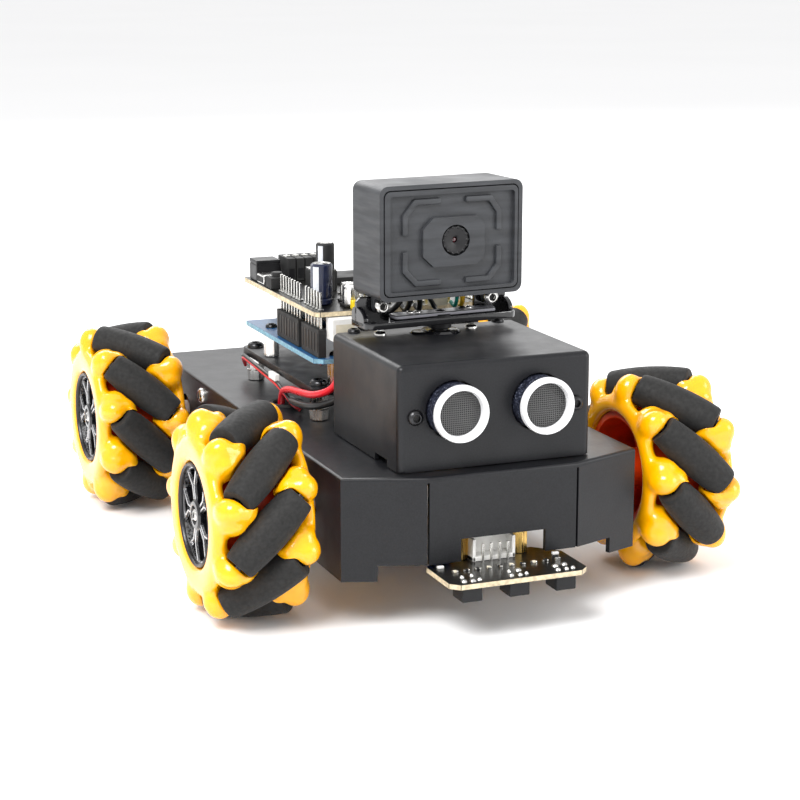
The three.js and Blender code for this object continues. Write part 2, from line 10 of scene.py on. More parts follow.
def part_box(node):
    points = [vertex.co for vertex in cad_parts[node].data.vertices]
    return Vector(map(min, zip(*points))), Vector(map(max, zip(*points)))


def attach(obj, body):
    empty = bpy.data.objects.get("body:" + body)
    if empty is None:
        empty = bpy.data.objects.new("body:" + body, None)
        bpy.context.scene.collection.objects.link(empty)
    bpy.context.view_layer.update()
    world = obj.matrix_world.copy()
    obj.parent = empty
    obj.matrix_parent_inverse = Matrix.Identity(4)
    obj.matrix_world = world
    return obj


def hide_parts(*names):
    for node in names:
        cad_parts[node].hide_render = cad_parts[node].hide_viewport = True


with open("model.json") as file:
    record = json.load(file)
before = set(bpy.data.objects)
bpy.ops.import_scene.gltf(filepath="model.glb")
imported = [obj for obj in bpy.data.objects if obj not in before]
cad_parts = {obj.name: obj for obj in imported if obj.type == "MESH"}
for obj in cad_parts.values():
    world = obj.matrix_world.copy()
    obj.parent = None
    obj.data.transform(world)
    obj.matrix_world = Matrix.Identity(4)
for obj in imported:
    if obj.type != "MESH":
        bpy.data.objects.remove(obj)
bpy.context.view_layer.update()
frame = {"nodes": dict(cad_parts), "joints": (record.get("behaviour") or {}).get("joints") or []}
joints = {joint["name"]: joint for joint in frame["joints"]}

# ---- sizes ----
# Lengths below are in millimetres, from the point on the ground midway between the axles:
# +X is the robot's left, -Y its front, +Z up. Piece.done() turns them into metres in the row's frame.
MM = 0.001
WHEELS = ("front_right", "rear_right", "front_left", "rear_left")
AXLE_MID_Y = sum(joints[f"{wheel}_wheel_spin"]["pos_m"][1] for wheel in WHEELS) / len(WHEELS) / MM


def span(node):
    """A CAD node's lowest and highest corners, in the script's own units."""
    shift = Vector((0, AXLE_MID_Y, 0))
    return [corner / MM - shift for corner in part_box(node)]


DECK_LOW, DECK_HIGH = span("chassis_deck")
DECK_TOP = DECK_HIGH.z
HEAD_LOW, HEAD_HIGH = span("head_box")
PLATE_LOW, PLATE_HIGH = span("mounting_plate")
LINE_LOW, LINE_HIGH = span("line_sensor")
SONAR_LOW, SONAR_HIGH = span("ultrasonic_module")
SERVO_LOW, SERVO_HIGH = span("pan_servo")
BATTERY_LOW, BATTERY_HIGH = span("battery_pack")

SONAR_X, SONAR_Z, SONAR_RADIUS = 12.9, 60.1, 8.0
PAN = Vector(joints["camera_pan"]["pos_m"]) / MM - Vector((0, AXLE_MID_Y, 0))
HEAD_TURN = math.radians(4.5)  # how far the camera head stands turned about the pan axis
CAMERA_X, CAMERA_FRONT, CAMERA_REAR, CAMERA_BOTTOM, CAMERA_TOP = 23.0, -57.5, -39.7, 84.9, 117.8
LENS = Vector((1.2, CAMERA_FRONT, 101.3))
BRACKET_X, BRACKET_FRONT, BRACKET_REAR, TAB_REAR = 24.5, -53.0, -41.5, -43.7
BRACKET_BOTTOM, BRACKET_TOP, EAR_TOP = 76.2, 78.2, 82.0
LUG_X, LUG_Z = 17.9, 82.1
BOARD_LEFT, BOARD_RIGHT, BOARD_FRONT, BOARD_REAR = -31.1, 23.5, -29.9, 37.8
BOARD_THICKNESS = 1.6
LOWER_BOARD, UPPER_BOARD = 62.0, 76.2
LOWER_TOP, UPPER_TOP = LOWER_BOARD + BOARD_THICKNESS, UPPER_BOARD + BOARD_THICKNESS
STANDOFF_X, STANDOFF_FRONT, STANDOFF_REAR = 27.3, -21.4, 40.0


# ---- camera ----
def make_camera():
    azimuth, elevation = math.radians(-21.96), math.radians(13.01)
    back = Vector((
        math.sin(azimuth) * math.cos(elevation),
        -math.cos(azimuth) * math.cos(elevation),
        math.sin(elevation),
    ))
    target, distance = Vector((7.78, AXLE_MID_Y, 41.67)) * MM, 0.64795
    data = bpy.data.cameras.new("camera")
    data.lens = 91.46
    data.sensor_width = 36.0
    data.clip_start, data.clip_end = 0.02, 20.0
    camera = bpy.data.objects.new("camera", data)
    camera.location = target + back * distance
    camera.rotation_euler = (-back).to_track_quat("-Z", "Y").to_euler()
    bpy.context.scene.collection.objects.link(camera)
    bpy.context.scene.camera = camera


make_camera()


# ---- materials ----
class Look:
    """A Principled material whose colour, roughness and bump come from procedural textures."""

    def __init__(self, name, roughness, metallic=0.0, **sockets):
        self.material = bpy.data.materials.new(name)
        self.material.use_nodes = True
        self.nodes = self.material.node_tree.nodes
        self.links = self.material.node_tree.links
        self.shader = self.nodes["Principled BSDF"]
        self.shader.inputs["Roughness"].default_value = roughness
        self.shader.inputs["Metallic"].default_value = metallic
        for socket, value in sockets.items():
            self.shader.inputs[socket.replace("_", " ")].default_value = value
        self.place = self.nodes.new("ShaderNodeTexCoord").outputs["Object"]
        self.height = None

    def node(self, kind, **settings):
        made = self.nodes.new(kind)
        for key, value in settings.items():
            if key in made.inputs:
                made.inputs[key].default_value = value
            else:
                setattr(made, key, value)
        return made

    def stretched(self, scale):
        mapping = self.node("ShaderNodeMapping")
        mapping.inputs["Scale"].default_value = scale
        self.links.new(self.place, mapping.inputs["Vector"])
        return mapping.outputs["Vector"]

    def noise(self, size_mm, detail=3.0, stretch=(1, 1, 1)):
        texture = self.node("ShaderNodeTexNoise", Scale=1 / (size_mm * MM), Detail=detail)
        self.links.new(self.stretched(stretch), texture.inputs["Vector"])
        return texture.outputs["Fac"]

    def bands(self, pitch_mm, direction):
        texture = self.node("ShaderNodeTexWave", bands_direction=direction, Distortion=0.6)
        texture.inputs["Scale"].default_value = 0.314 / (pitch_mm * MM)
        self.links.new(self.place, texture.inputs["Vector"])
        return texture.outputs["Fac"]

    def ramp(self, factor, stops):
        ramp = self.node("ShaderNodeValToRGB")
        while len(ramp.color_ramp.elements) < len(stops):
            ramp.color_ramp.elements.new(0.5)
        for element, (position, colour) in zip(ramp.color_ramp.elements, stops):
            element.position = position
            element.color = (*colour, 1) if len(colour) == 3 else colour
        self.links.new(factor, ramp.inputs["Fac"])
        return ramp.outputs["Color"]

    def colour(self, factor, stops):
        self.links.new(self.ramp(factor, stops), self.shader.inputs["Base Color"])
        return self

    def rough(self, factor, low, high):
        spread = self.node("ShaderNodeMapRange")
        spread.inputs["From Min"].default_value = 0.35
        spread.inputs["From Max"].default_value = 0.65
        spread.inputs["To Min"].default_value = low
        spread.inputs["To Max"].default_value = high
        self.links.new(factor, spread.inputs["Value"])
        self.links.new(spread.outputs["Result"], self.shader.inputs["Roughness"])
        return self

    def bump(self, factor, depth_mm):
        bump = self.node("ShaderNodeBump", Distance=depth_mm * MM, Strength=1.0)
        self.links.new(factor, bump.inputs["Height"])
        if self.height is not None:
            self.links.new(self.height, bump.inputs["Normal"])
        self.height = bump.outputs["Normal"]
        self.links.new(self.height, self.shader.inputs["Normal"])
        return self

    def times(self, first, second):
        product = self.node("ShaderNodeMath", operation="MULTIPLY")
        self.links.new(first, product.inputs[0])
        self.links.new(second, product.inputs[1])
        return product.outputs["Value"]


def speckled(colour, amount=0.25):
    """Two stops round a colour, for a small variation over a noise."""
    return [
        (0.3, tuple(channel * (1 - amount) for channel in colour)),
        (0.7, tuple(min(1.0, channel * (1 + amount)) for channel in colour)),
    ]


def plain(name, colour, roughness, metallic=0.0, grain_mm=0.3, depth_mm=0.01, amount=0.2, **sockets):
    """A material with a fine grain, a broad unevenness in its gloss, and a small variation in its colour."""
    look = Look(name, roughness, metallic, **sockets)
    look.colour(look.noise(grain_mm * 8), speckled(colour, amount))
    look.rough(look.noise(6.0), roughness * 0.85, min(1.0, roughness * 1.15))
    look.bump(look.noise(grain_mm), depth_mm)
    return look


def powder_coat():
    look = Look("powder_coat", 0.4, **{"Specular_IOR_Level": 0.34})
    look.colour(look.noise(0.5), speckled((0.0065, 0.0068, 0.0085), 0.3))
    look.rough(look.noise(9.0), 0.34, 0.42)
    look.bump(look.noise(0.42, detail=4.0), 0.022)
    look.bump(look.noise(14.0), 0.03)
    return look


def wheel_yellow():
    look = Look("wheel_yellow", 0.2, **{"Coat_Weight": 0.5, "Coat_Roughness": 0.06})
    look.shader.inputs["Subsurface Weight"].default_value = 0.12
    look.shader.inputs["Subsurface Radius"].default_value = (1.0, 0.35, 0.05)
    look.shader.inputs["Subsurface Scale"].default_value = 0.002
    look.colour(look.noise(7.0), [(0.25, (1.0, 0.40, 0.0)), (0.75, (1.0, 0.46, 0.0))])
    look.rough(look.noise(2.5), 0.16, 0.26)
    look.bump(look.noise(3.5), 0.03)
    return look


def rubber():
    look = Look("rubber", 0.7, **{"Specular_IOR_Level": 0.3, "Sheen_Weight": 0.04, "Sheen_Roughness": 0.5})
    look.colour(look.noise(1.3, detail=5.0), [(0.3, (0.010, 0.0098, 0.0095)), (0.7, (0.018, 0.0175, 0.017))])
    look.rough(look.noise(1.0), 0.62, 0.78)
    look.bump(look.noise(0.22, detail=4.0), 0.03)
    look.bump(look.noise(3.0), 0.05)
    return look


def printed_plastic():
    """Printed in layers: fine level lines, with a slow change in how they catch the light."""
    look = Look("camera_plastic", 0.5, **{"Specular_IOR_Level": 0.45})
    look.colour(look.noise(2.2, stretch=(0.15, 0.15, 1.0)), speckled((0.030, 0.032, 0.036), 0.3))
    look.rough(look.noise(1.6, stretch=(0.1, 0.1, 1.0)), 0.42, 0.58)
    look.bump(look.bands(0.32, "Z"), 0.012)
    look.bump(look.noise(0.5, stretch=(0.1, 0.1, 1.0)), 0.02)
    return look


def circuit(name, mask, trace):
    """Solder mask over copper: squarish traces just under it, a little lighter than the rest."""
    look = Look(name, 0.3, **{"Coat_Weight": 0.3, "Coat_Roughness": 0.15})
    cells = look.node("ShaderNodeTexVoronoi", distance="MANHATTAN", feature="F1", Scale=420.0, Randomness=0.8)
    look.links.new(look.place, cells.inputs["Vector"])
    look.colour(cells.outputs["Distance"], [(0.28, mask), (0.3, trace), (0.42, trace), (0.44, mask)])
    look.bump(cells.outputs["Distance"], 0.02)
    return look


def woven_mesh():
    """The metal gauze over a transducer: crossing wires with dark openings between them."""
    look = Look("transducer_mesh", 0.35, 0.9)
    across, up = look.bands(0.6, "X"), look.bands(0.6, "Z")
    wires = look.times(across, up)
    look.colour(wires, [(0.05, (0.10, 0.10, 0.10)), (0.4, (0.03, 0.03, 0.03)), (0.7, (0.004, 0.004, 0.004))])
    look.bump(wires, -0.12)
    return look


def brushed(name, colour, roughness):
    look = Look(name, roughness, 1.0)
    look.colour(look.noise(1.2, stretch=(1, 1, 0.1)), speckled(colour, 0.12))
    look.rough(look.noise(0.5, stretch=(1, 1, 0.05)), roughness * 0.7, roughness * 1.3)
    look.bump(look.noise(0.25, stretch=(1, 1, 0.05)), 0.006)
    return look


POWDER = powder_coat()
YELLOW = wheel_yellow()
# painted shade: the core, spokes and shaft boss inside each wheel are the same yellow plastic as the rim,
# coloured deep red to stand for that plastic in shade between the flanges
CORE_SHADE_RED = plain("wheel_core_painted_shade", (0.72, 0.045, 0.002), 0.35, grain_mm=0.6, depth_mm=0.02)
RUBBER = rubber()
PRINTED = printed_plastic()
GLOSS_BLACK = plain("gloss_black", (0.004, 0.004, 0.005), 0.12, depth_mm=0.003, **{"Coat_Weight": 0.4})
SATIN_BLACK = plain("satin_black", (0.006, 0.006, 0.007), 0.4, depth_mm=0.012, **{"Specular_IOR_Level": 0.35})
MATT_BLACK = plain("matt_black", (0.009, 0.009, 0.009), 0.65, depth_mm=0.02)
STEEL = brushed("bright_steel", (0.72, 0.71, 0.69), 0.22)
DARK_STEEL = brushed("black_screw", (0.05, 0.05, 0.052), 0.32)
TIN = brushed("tinned_pin", (0.80, 0.79, 0.75), 0.25)
BRASS = brushed("brass", (0.78, 0.52, 0.16), 0.28)
HUB_SILVER = brushed("hub_silver", (0.66, 0.66, 0.67), 0.28)
BLUE_MASK = circuit("blue_board", (0.008, 0.075, 0.20), (0.014, 0.13, 0.30))
BLACK_MASK = circuit("black_board", (0.006, 0.006, 0.005), (0.02, 0.02, 0.016))
BOARD_EDGE = plain("board_edge", (0.60, 0.50, 0.33), 0.6, grain_mm=0.15, amount=0.3)
# painted highlight: the blue board's cut edge is coloured a light blue that stands for the light caught along
# its edge
BLUE_EDGE_HIGHLIGHT = plain("blue_board_edge_highlight", (0.17, 0.34, 0.43), 0.5, grain_mm=0.15, amount=0.3)
WHITE = plain("white_plastic", (0.85, 0.84, 0.81), 0.35, depth_mm=0.008, amount=0.06)
CREAM = plain("cream_plastic", (0.72, 0.66, 0.52), 0.4, amount=0.1)
RING_WHITE = plain("transducer_rim", (0.88, 0.88, 0.89), 0.28, 0.15, grain_mm=0.5, amount=0.05)
YELLOW_PIN = plain("yellow_header", (0.92, 0.66, 0.02), 0.35, amount=0.1)
RED_WIRE = plain("red_wire", (0.60, 0.008, 0.018), 0.3, amount=0.12)
BLACK_WIRE = plain("black_wire", (0.008, 0.008, 0.008), 0.35, amount=0.3)
TEAL_WIRE = plain("teal_wire", (0.01, 0.26, 0.20), 0.4, amount=0.15)
GOLD_WIRE = plain("gold_wire", (0.78, 0.45, 0.02), 0.4, amount=0.15)
NAVY_FILM = plain("capacitor_sleeve", (0.008, 0.012, 0.035), 0.2, amount=0.2)
GREY_FILM = plain("capacitor_stripe", (0.55, 0.57, 0.60), 0.25, amount=0.1)
SOLDER = plain("solder", (0.62, 0.62, 0.60), 0.3, 1.0, grain_mm=0.4, depth_mm=0.05)
COPPER = plain("copper", (0.72, 0.30, 0.12), 0.35, 1.0)
BLUE_CELL = plain("battery_wrap", (0.012, 0.06, 0.30), 0.3, grain_mm=1.2, depth_mm=0.03)
MOTOR_SHELL = plain("motor_shell", (0.90, 0.46, 0.012), 0.4, grain_mm=0.4, depth_mm=0.015, amount=0.1)
ARM_GREY = plain("servo_arm", (0.26, 0.26, 0.29), 0.3, depth_mm=0.01, amount=0.08)
# the lens glass is near black, the dark of the lens; its red tint is a painted reflection, standing for the
# reddish glint in its centre
LENS_GLASS = plain("lens_glass", (0.05, 0.002, 0.006), 0.04, depth_mm=0.0005, **{"Coat_Weight": 1.0})
MESH = woven_mesh()


def speckled_barrel():
    look = Look("transducer_barrel", 0.5, 0.3)
    look.colour(look.noise(0.55, detail=5.0), [
        (0.42, (0.005, 0.006, 0.012)), (0.56, (0.016, 0.02, 0.045)), (0.68, (0.22, 0.24, 0.30)),
    ])
    look.bump(look.noise(0.5, detail=5.0), 0.05)
    return look


BARREL = speckled_barrel()


# ---- shapes ----
def frame_round(direction):
    """Two unit vectors square to a direction and to each other."""
    along = Vector(direction).normalized()
    helper = Vector((0, 0, 1)) if abs(along.z) < 0.9 else Vector((1, 0, 0))
    side = along.cross(helper).normalized()
    return along, side, side.cross(along)


def smooth_path(points, steps):
    """Points along a Catmull-Rom curve through the given points."""
    knots = [Vector(point) for point in points]
    padded = [2 * knots[0] - knots[1], *knots, 2 * knots[-1] - knots[-2]]
    path = []
    for a, b, c, d in zip(padded, padded[1:], padded[2:], padded[3:]):
        for step in range(steps):
            t = step / steps
            path.append(0.5 * (
                2 * b + (c - a) * t + (2 * a - 5 * b + 4 * c - d) * t * t
                + (3 * b - a - 3 * c + d) * t * t * t
            ))
    return [*path, knots[-1]]


def even_shading(made):
    """Shades the large faces flat, and blends only across the rounded edges between them."""
    weighted = made.modifiers.new("even_shading", "WEIGHTED_NORMAL")
    weighted.keep_sharp = True


class Piece:
    """One visible piece, gathered from solid shapes that may have different materials."""

    def __init__(self, name):
        self.name = name
        self.mesh = bmesh.new()
        self.looks = []

    def index(self, look):
        if look not in self.looks:
            self.looks.append(look)
        return self.looks.index(look)

    def take(self, part, look, turn=None):
        """Adds a bmesh, painted unless look is None, and turned about the origin first."""
        if turn is not None:
            bmesh.ops.transform(part, matrix=turn, verts=part.verts)
        for face in part.faces:
            face.smooth = True
            if look is not None:
                face.material_index = self.index(look)
        bmesh.ops.recalc_face_normals(part, faces=part.faces)
        scratch = bpy.data.meshes.new("scratch")
        part.to_mesh(scratch)
        part.free()
        self.mesh.from_mesh(scratch)
        bpy.data.meshes.remove(scratch)
        return self

    def block(self, low, high, look, edge=0.2, turn=None):
        part = bmesh.new()
        bmesh.ops.create_cube(part, size=1)
        low, high = Vector(map(min, low, high)), Vector(map(max, low, high))
        size = high - low
        bmesh.ops.scale(part, vec=size, verts=part.verts)
        bmesh.ops.translate(part, vec=(low + high) / 2, verts=part.verts)
        width = min(edge, min(size) * 0.35)
        bmesh.ops.bevel(part, geom=part.edges[:], offset=width, segments=2, affect="EDGES", profile=0.5)
        return self.take(part, look, turn)

    def turned(self, profile, origin, direction, look, sides=28, turn=None):
        """A solid of revolution: profile points are (radius, distance along the direction)."""
        along, side, up = frame_round(direction)
        part = bmesh.new()
        rings = []
        for radius, height in profile:
            centre = Vector(origin) + along * height
            if radius < 1e-6:
                rings.append([part.verts.new(centre)])
                continue
            rings.append([
                part.verts.new(centre + radius * (
                    side * math.cos(math.tau * k / sides) + up * math.sin(math.tau * k / sides)
                )) for k in range(sides)
            ])
        for lower, upper in zip(rings, rings[1:]):
            for k in range(sides):
                near, far = k, (k + 1) % sides
                if len(lower) == 1 and len(upper) == 1:
                    continue
                if len(lower) == 1:
                    part.faces.new((lower[0], upper[far], upper[near]))
                elif len(upper) == 1:
                    part.faces.new((lower[near], lower[far], upper[0]))
                else:
                    part.faces.new((lower[near], lower[far], upper[far], upper[near]))
        return self.take(part, look, turn)

    def ring(self, profile, origin, direction, look, sides=36):
        """A solid of revolution with a hole: the profile closes on itself."""
        return self.turned([*profile, profile[0]], origin, direction, look, sides)

    def rod(self, start, end, radius, look, sides=20, edge=0.15, end_radius=None):
        start, end = Vector(start), Vector(end)
        length = (end - start).length
        last = radius if end_radius is None else end_radius
        cut = min(edge, radius * 0.4, length * 0.3)
        profile = [
            (0, 0), (radius - cut, 0), (radius, cut), (last, length - cut), (last - cut, length), (0, length),
        ]
        return self.turned(profile, start, end - start, look, sides)

    def plate(self, outline, low, high, look, edge=0.2, axis="Z", rim=None, turn=None):
        """An outline, as thick as high - low along an axis, with its edges taken off."""
        place = {
            "Z": lambda a, b, c: (a, b, c),
            "Y": lambda a, b, c: (a, c, b),
            "X": lambda a, b, c: (c, a, b),
        }[axis]
        part = bmesh.new()
        face = part.faces.new([part.verts.new(place(a, b, low)) for a, b in outline])
        lifted = bmesh.ops.extrude_face_region(part, geom=[face])
        moved = [item for item in lifted["geom"] if isinstance(item, bmesh.types.BMVert)]
        bmesh.ops.translate(part, vec=Vector(place(0, 0, high - low)), verts=moved)
        bmesh.ops.recalc_face_normals(part, faces=part.faces)
        square = {"Z": 2, "Y": 1, "X": 0}[axis]
        for side in part.faces:
            flat = abs(side.normal[square]) > 0.9
            side.material_index = self.index(look if flat or rim is None else rim)
        sharp = [e for e in part.edges if len(e.link_faces) == 2 and e.calc_face_angle(0) > math.radians(25)]
        width = min(edge, abs(high - low) * 0.3)
        bmesh.ops.bevel(part, geom=sharp, offset=width, segments=2, affect="EDGES", profile=0.5)
        return self.take(part, None, turn)

    def loop(self, outer, inner, low, high, look, edge):
        """A flat frame square to Y, between two outlines of as many points each."""
        part = bmesh.new()
        rings = [
            [part.verts.new((a, y, b)) for a, b in outline] for y in (low, high) for outline in (outer, inner)
        ]
        for one, other in ((0, 1), (3, 2), (2, 0), (1, 3)):
            a, b = rings[one], rings[other]
            for k in range(len(a)):
                far = (k + 1) % len(a)
                part.faces.new((a[k], a[far], b[far], b[k]))
        sharp = [e for e in part.edges if e.calc_face_angle(0) > math.radians(25)]
        bmesh.ops.bevel(
            part, geom=sharp, offset=edge, segments=2, affect="EDGES", profile=0.5, clamp_overlap=True,
        )
        return self.take(part, look)

    def tube(self, points, radius, look, sides=10, steps=6):
        path = smooth_path(points, steps)
        part = bmesh.new()
        along, side, up = frame_round(path[1] - path[0])
        rings = []
        for place, point in enumerate(path):
            ahead = path[min(place + 1, len(path) - 1)] - path[max(place - 1, 0)]
            along = ahead.normalized()
            side = (side - along * side.dot(along)).normalized()
            up = side.cross(along)
            rings.append([
                part.verts.new(point + radius * (
                    side * math.cos(math.tau * k / sides) + up * math.sin(math.tau * k / sides)
                )) for k in range(sides)
            ])
        for lower, upper in zip(rings, rings[1:]):
            for k in range(sides):
                part.faces.new((lower[k], lower[(k + 1) % sides], upper[(k + 1) % sides], upper[k]))
        part.faces.new(rings[0])
        part.faces.new(rings[-1][::-1])
        return self.take(part, look)

    def screw(self, at, direction, radius, look, height=None, dark=None):
        """A round screw head with a socket in it; at is the middle of its underside. A dark look, if given,
        lines the socket's floor as painted shade.
        """
        tall = radius * 0.62 if height is None else height
        socket = radius * 0.5
        self.turned([
            (0, tall * 0.3), (socket, tall * 0.3), (socket, tall * 0.98), (radius * 0.62, tall),
            (radius * 0.86, tall * 0.8), (radius, tall * 0.42), (radius, 0), (0, 0),
        ], at, direction, look, 24)
        # painted shade: a disc in the dark look on the socket's floor, standing for the shade down in the
        # socket
        if dark is not None:
            self.turned([(0, tall * 0.34), (socket * 0.96, tall * 0.34), (socket * 0.96, tall * 0.2),
                         (0, tall * 0.2)], at, direction, dark, 6)
        return self

    def done(self, body, slot, *nodes, sharp=32):
        """Makes the object: it rides on the body, and stands for the CAD nodes named."""
        if body == "camera_head":
            to_pan = Matrix.Translation(PAN)
            turn = to_pan @ Matrix.Rotation(HEAD_TURN, 4, "Z") @ to_pan.inverted()
            bmesh.ops.transform(self.mesh, matrix=turn, verts=self.mesh.verts)
        bmesh.ops.scale(self.mesh, vec=(MM, MM, MM), verts=self.mesh.verts)
        bmesh.ops.translate(self.mesh, vec=(0, AXLE_MID_Y * MM, 0), verts=self.mesh.verts)
        data = bpy.data.meshes.new(self.name)
        self.mesh.to_mesh(data)
        self.mesh.free()
        for look in self.looks:
            data.materials.append(look.material)
        data.set_sharp_from_angle(angle=math.radians(sharp))
        made = bpy.data.objects.new(self.name, data)
        bpy.context.scene.collection.objects.link(made)
        even_shading(made)
        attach(made, body)
        if nodes:
            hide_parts(*nodes)
        return made


def rounded(x0, x1, z0, z1, radius, steps=6):
    """The outline of a rectangle with round corners."""
    centres = [(x1 - radius, z1 - radius), (x0 + radius, z1 - radius),
               (x0 + radius, z0 + radius), (x1 - radius, z0 + radius)]
    points = []
    for corner, (cx, cz) in enumerate(centres):
        for step in range(steps + 1):
            angle = (corner + step / steps) * math.pi / 2
            points.append((cx + radius * math.cos(angle), cz + radius * math.sin(angle)))
    return points


def finer(outline, step):
    """An outline with its sides cut into steps."""
    points = []
    for (a, b), (c, d) in zip(outline, [*outline[1:], outline[0]]):
        count = math.ceil(math.hypot(c - a, d - b) / step)
        points += [(a + (c - a) * k / count, b + (d - b) * k / count) for k in range(count)]
    return points


def hole(outline, centre, radius):
    """A circle with a point for each of the outline's, in the same direction from the centre."""
    x, z = centre
    angles = [math.atan2(b - z, a - x) for a, b in outline]
    return [(x + radius * math.cos(t), z + radius * math.sin(t)) for t in angles]


def stroke(points, width):
    """The outline of a line of even width through points, with mitred corners."""
    knots = [Vector(point) for point in points]
    runs = [(b - a).normalized() for a, b in zip(knots, knots[1:])]
    one, other = [], []
    for k, knot in enumerate(knots):
        before, after = runs[max(k - 1, 0)], runs[min(k, len(runs) - 1)]
        run = (before + after).normalized()
        across = Vector((-run.y, run.x)) * width / 2 / run.dot(after)
        one.append(tuple(knot + across))
        other.append(tuple(knot - across))
    return one + other[::-1]


def sheet_from_node(node, name, is_bend, radius, edge, body, look):
    """A folded sheet with its CAD node's shape, its bends rounded and its cut edges broken."""
    mesh = bmesh.new()
    mesh.from_mesh(frame["nodes"][node].data)
    bmesh.ops.remove_doubles(mesh, verts=mesh.verts, dist=2e-6)
    bmesh.ops.dissolve_limit(
        mesh, angle_limit=math.radians(1), verts=mesh.verts, edges=mesh.edges, use_dissolve_boundaries=False,
    )
    low, high = ([pick(v.co[k] for v in mesh.verts) for k in range(3)] for pick in (min, max))
    shift = Vector((0, AXLE_MID_Y, 0))
    bends = [e for e in mesh.edges if is_bend(*(v.co / MM - shift for v in e.verts))]
    bmesh.ops.bevel(
        mesh, geom=bends, offset=radius * MM, segments=5, affect="EDGES", profile=0.5, clamp_overlap=True,
    )
    sharp = [e for e in mesh.edges if len(e.link_faces) == 2 and e.calc_face_angle(0) > math.radians(50)]
    bmesh.ops.bevel(
        mesh, geom=sharp, offset=edge * MM, segments=2, affect="EDGES", profile=0.5, clamp_overlap=True,
    )
    for vert in mesh.verts:
        vert.co = [min(max(c, a), b) for c, a, b in zip(vert.co, low, high)]
    for face in mesh.faces:
        face.smooth = True
    data = bpy.data.meshes.new(name)
    mesh.to_mesh(data)
    mesh.free()
    data.materials.append(look.material)
    data.set_sharp_from_angle(angle=math.radians(32))
    made = bpy.data.objects.new(name, data)
    bpy.context.scene.collection.objects.link(made)
    even_shading(made)
    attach(made, body)
    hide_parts(node)
    return made


# ---- chassis ----
def deck_bend(a, b):
    top = abs(a.z - DECK_TOP) < 0.01 and abs(b.z - DECK_TOP) < 0.01
    return top and max(abs(a.x), abs(b.x)) > 20 and (a - b).length > 12


def head_bend(a, b):
    outer = all(
        abs(abs(p.x) - HEAD_HIGH.x) < 0.02 or abs(p.y - HEAD_LOW.y) < 0.02 or abs(p.y - HEAD_HIGH.y) < 0.02
        for p in (a, b)
    )
    top = all(abs(p.z - HEAD_HIGH.z) < 0.02 for p in (a, b))
    upright = abs(a.x - b.x) < 0.02 and abs(a.y - b.y) < 0.02 and abs(abs(a.x) - HEAD_HIGH.x) < 0.02
    corner = abs(a.y - HEAD_LOW.y) < 0.02 or abs(a.y - HEAD_HIGH.y) < 0.02
    return outer and (a - b).length > 12 and (top or (upright and corner))


def chassis():
    sheet_from_node("chassis_deck", "deck_sheet", deck_bend, 1.8, 0.22, "chassis", POWDER)
    sheet_from_node("head_box", "head_cover", head_bend, 1.9, 0.2, "chassis", POWDER)
    screws = Piece("chassis_screws")
    for side in (-1, 1):
        x = side * (HEAD_HIGH.x - 4.9)
        screws.screw((x, HEAD_LOW.y + 0.05, 58.8), (0, -1, 0), 2.2, DARK_STEEL, dark=MATT_BLACK)
        screws.screw((side * 23, -40.5, HEAD_HIGH.z - 0.05), (0, 0, 1), 1.9, DARK_STEEL, dark=MATT_BLACK)
        for end in (-1, 1):
            for height in (21.3, 38.7):
                at = (side * (DECK_HIGH.x - 0.05), end * (63 - 20.6), height)
                screws.screw(at, (side, 0, 0), 2.5, STEEL, dark=MATT_BLACK)
    screws.done("chassis", "powder_coat")


# ---- ultrasonic module ----
def ultrasonic():
    sonar = Piece("ultrasonic_sensor")
    board_y = SONAR_HIGH.y
    sonar.plate(
        rounded(-22.5, 22.5, SONAR_Z - 10, SONAR_Z + 10, 0.8), board_y - 1.6, board_y, BLACK_MASK, 0.15, "Y",
        rim=BOARD_EDGE,
    )
    front = SONAR_LOW.y
    for side in (-1, 1):
        x, r = side * SONAR_X, SONAR_RADIUS
        sonar.turned([
            (0, 0), (r - 0.5, 0), (r - 0.35, 0.6), (r - 0.35, 8.9), (r - 0.2, 9.3),
        ], (x, board_y - 1.2, SONAR_Z), (0, -1, 0), BARREL, 48)
        sonar.ring([
            (r - 0.35, 0.1), (r - 0.02, 0.3), (r, 1.6), (r - 0.2, 2.1), (r - 0.8, 2.25), (r - 1.3, 2.05),
            (r - 1.6, 1.4), (r - 1.65, -1.6), (r - 0.9, -1.6),
        ], (x, front + 2.25, SONAR_Z), (0, -1, 0), RING_WHITE, 64)
        sonar.turned([
            (0, 0.15), (2.6, 0.1), (5.0, -0.1), (r - 1.55, -0.35), (r - 1.55, -0.9), (0, -0.9),
        ], (x, front + 2.25, SONAR_Z), (0, -1, 0), MESH, 48)
        for offset in (-2.5, 2.5):
            sonar.rod((x + offset, board_y, SONAR_Z), (x + offset, board_y + 1.2, SONAR_Z), 0.8, SOLDER, 12)
    for pin in range(4):
        x = -3.81 + pin * 2.54
        sonar.block((x - 0.3, board_y, 51), (x + 0.3, board_y + 0.9, 53), SOLDER)
    sonar.block((-3.2, board_y - 2.4, 64), (3.2, board_y - 1.5, 67), MATT_BLACK)
    sonar.done("chassis", "black_board", "ultrasonic_module")


chassis()
ultrasonic()


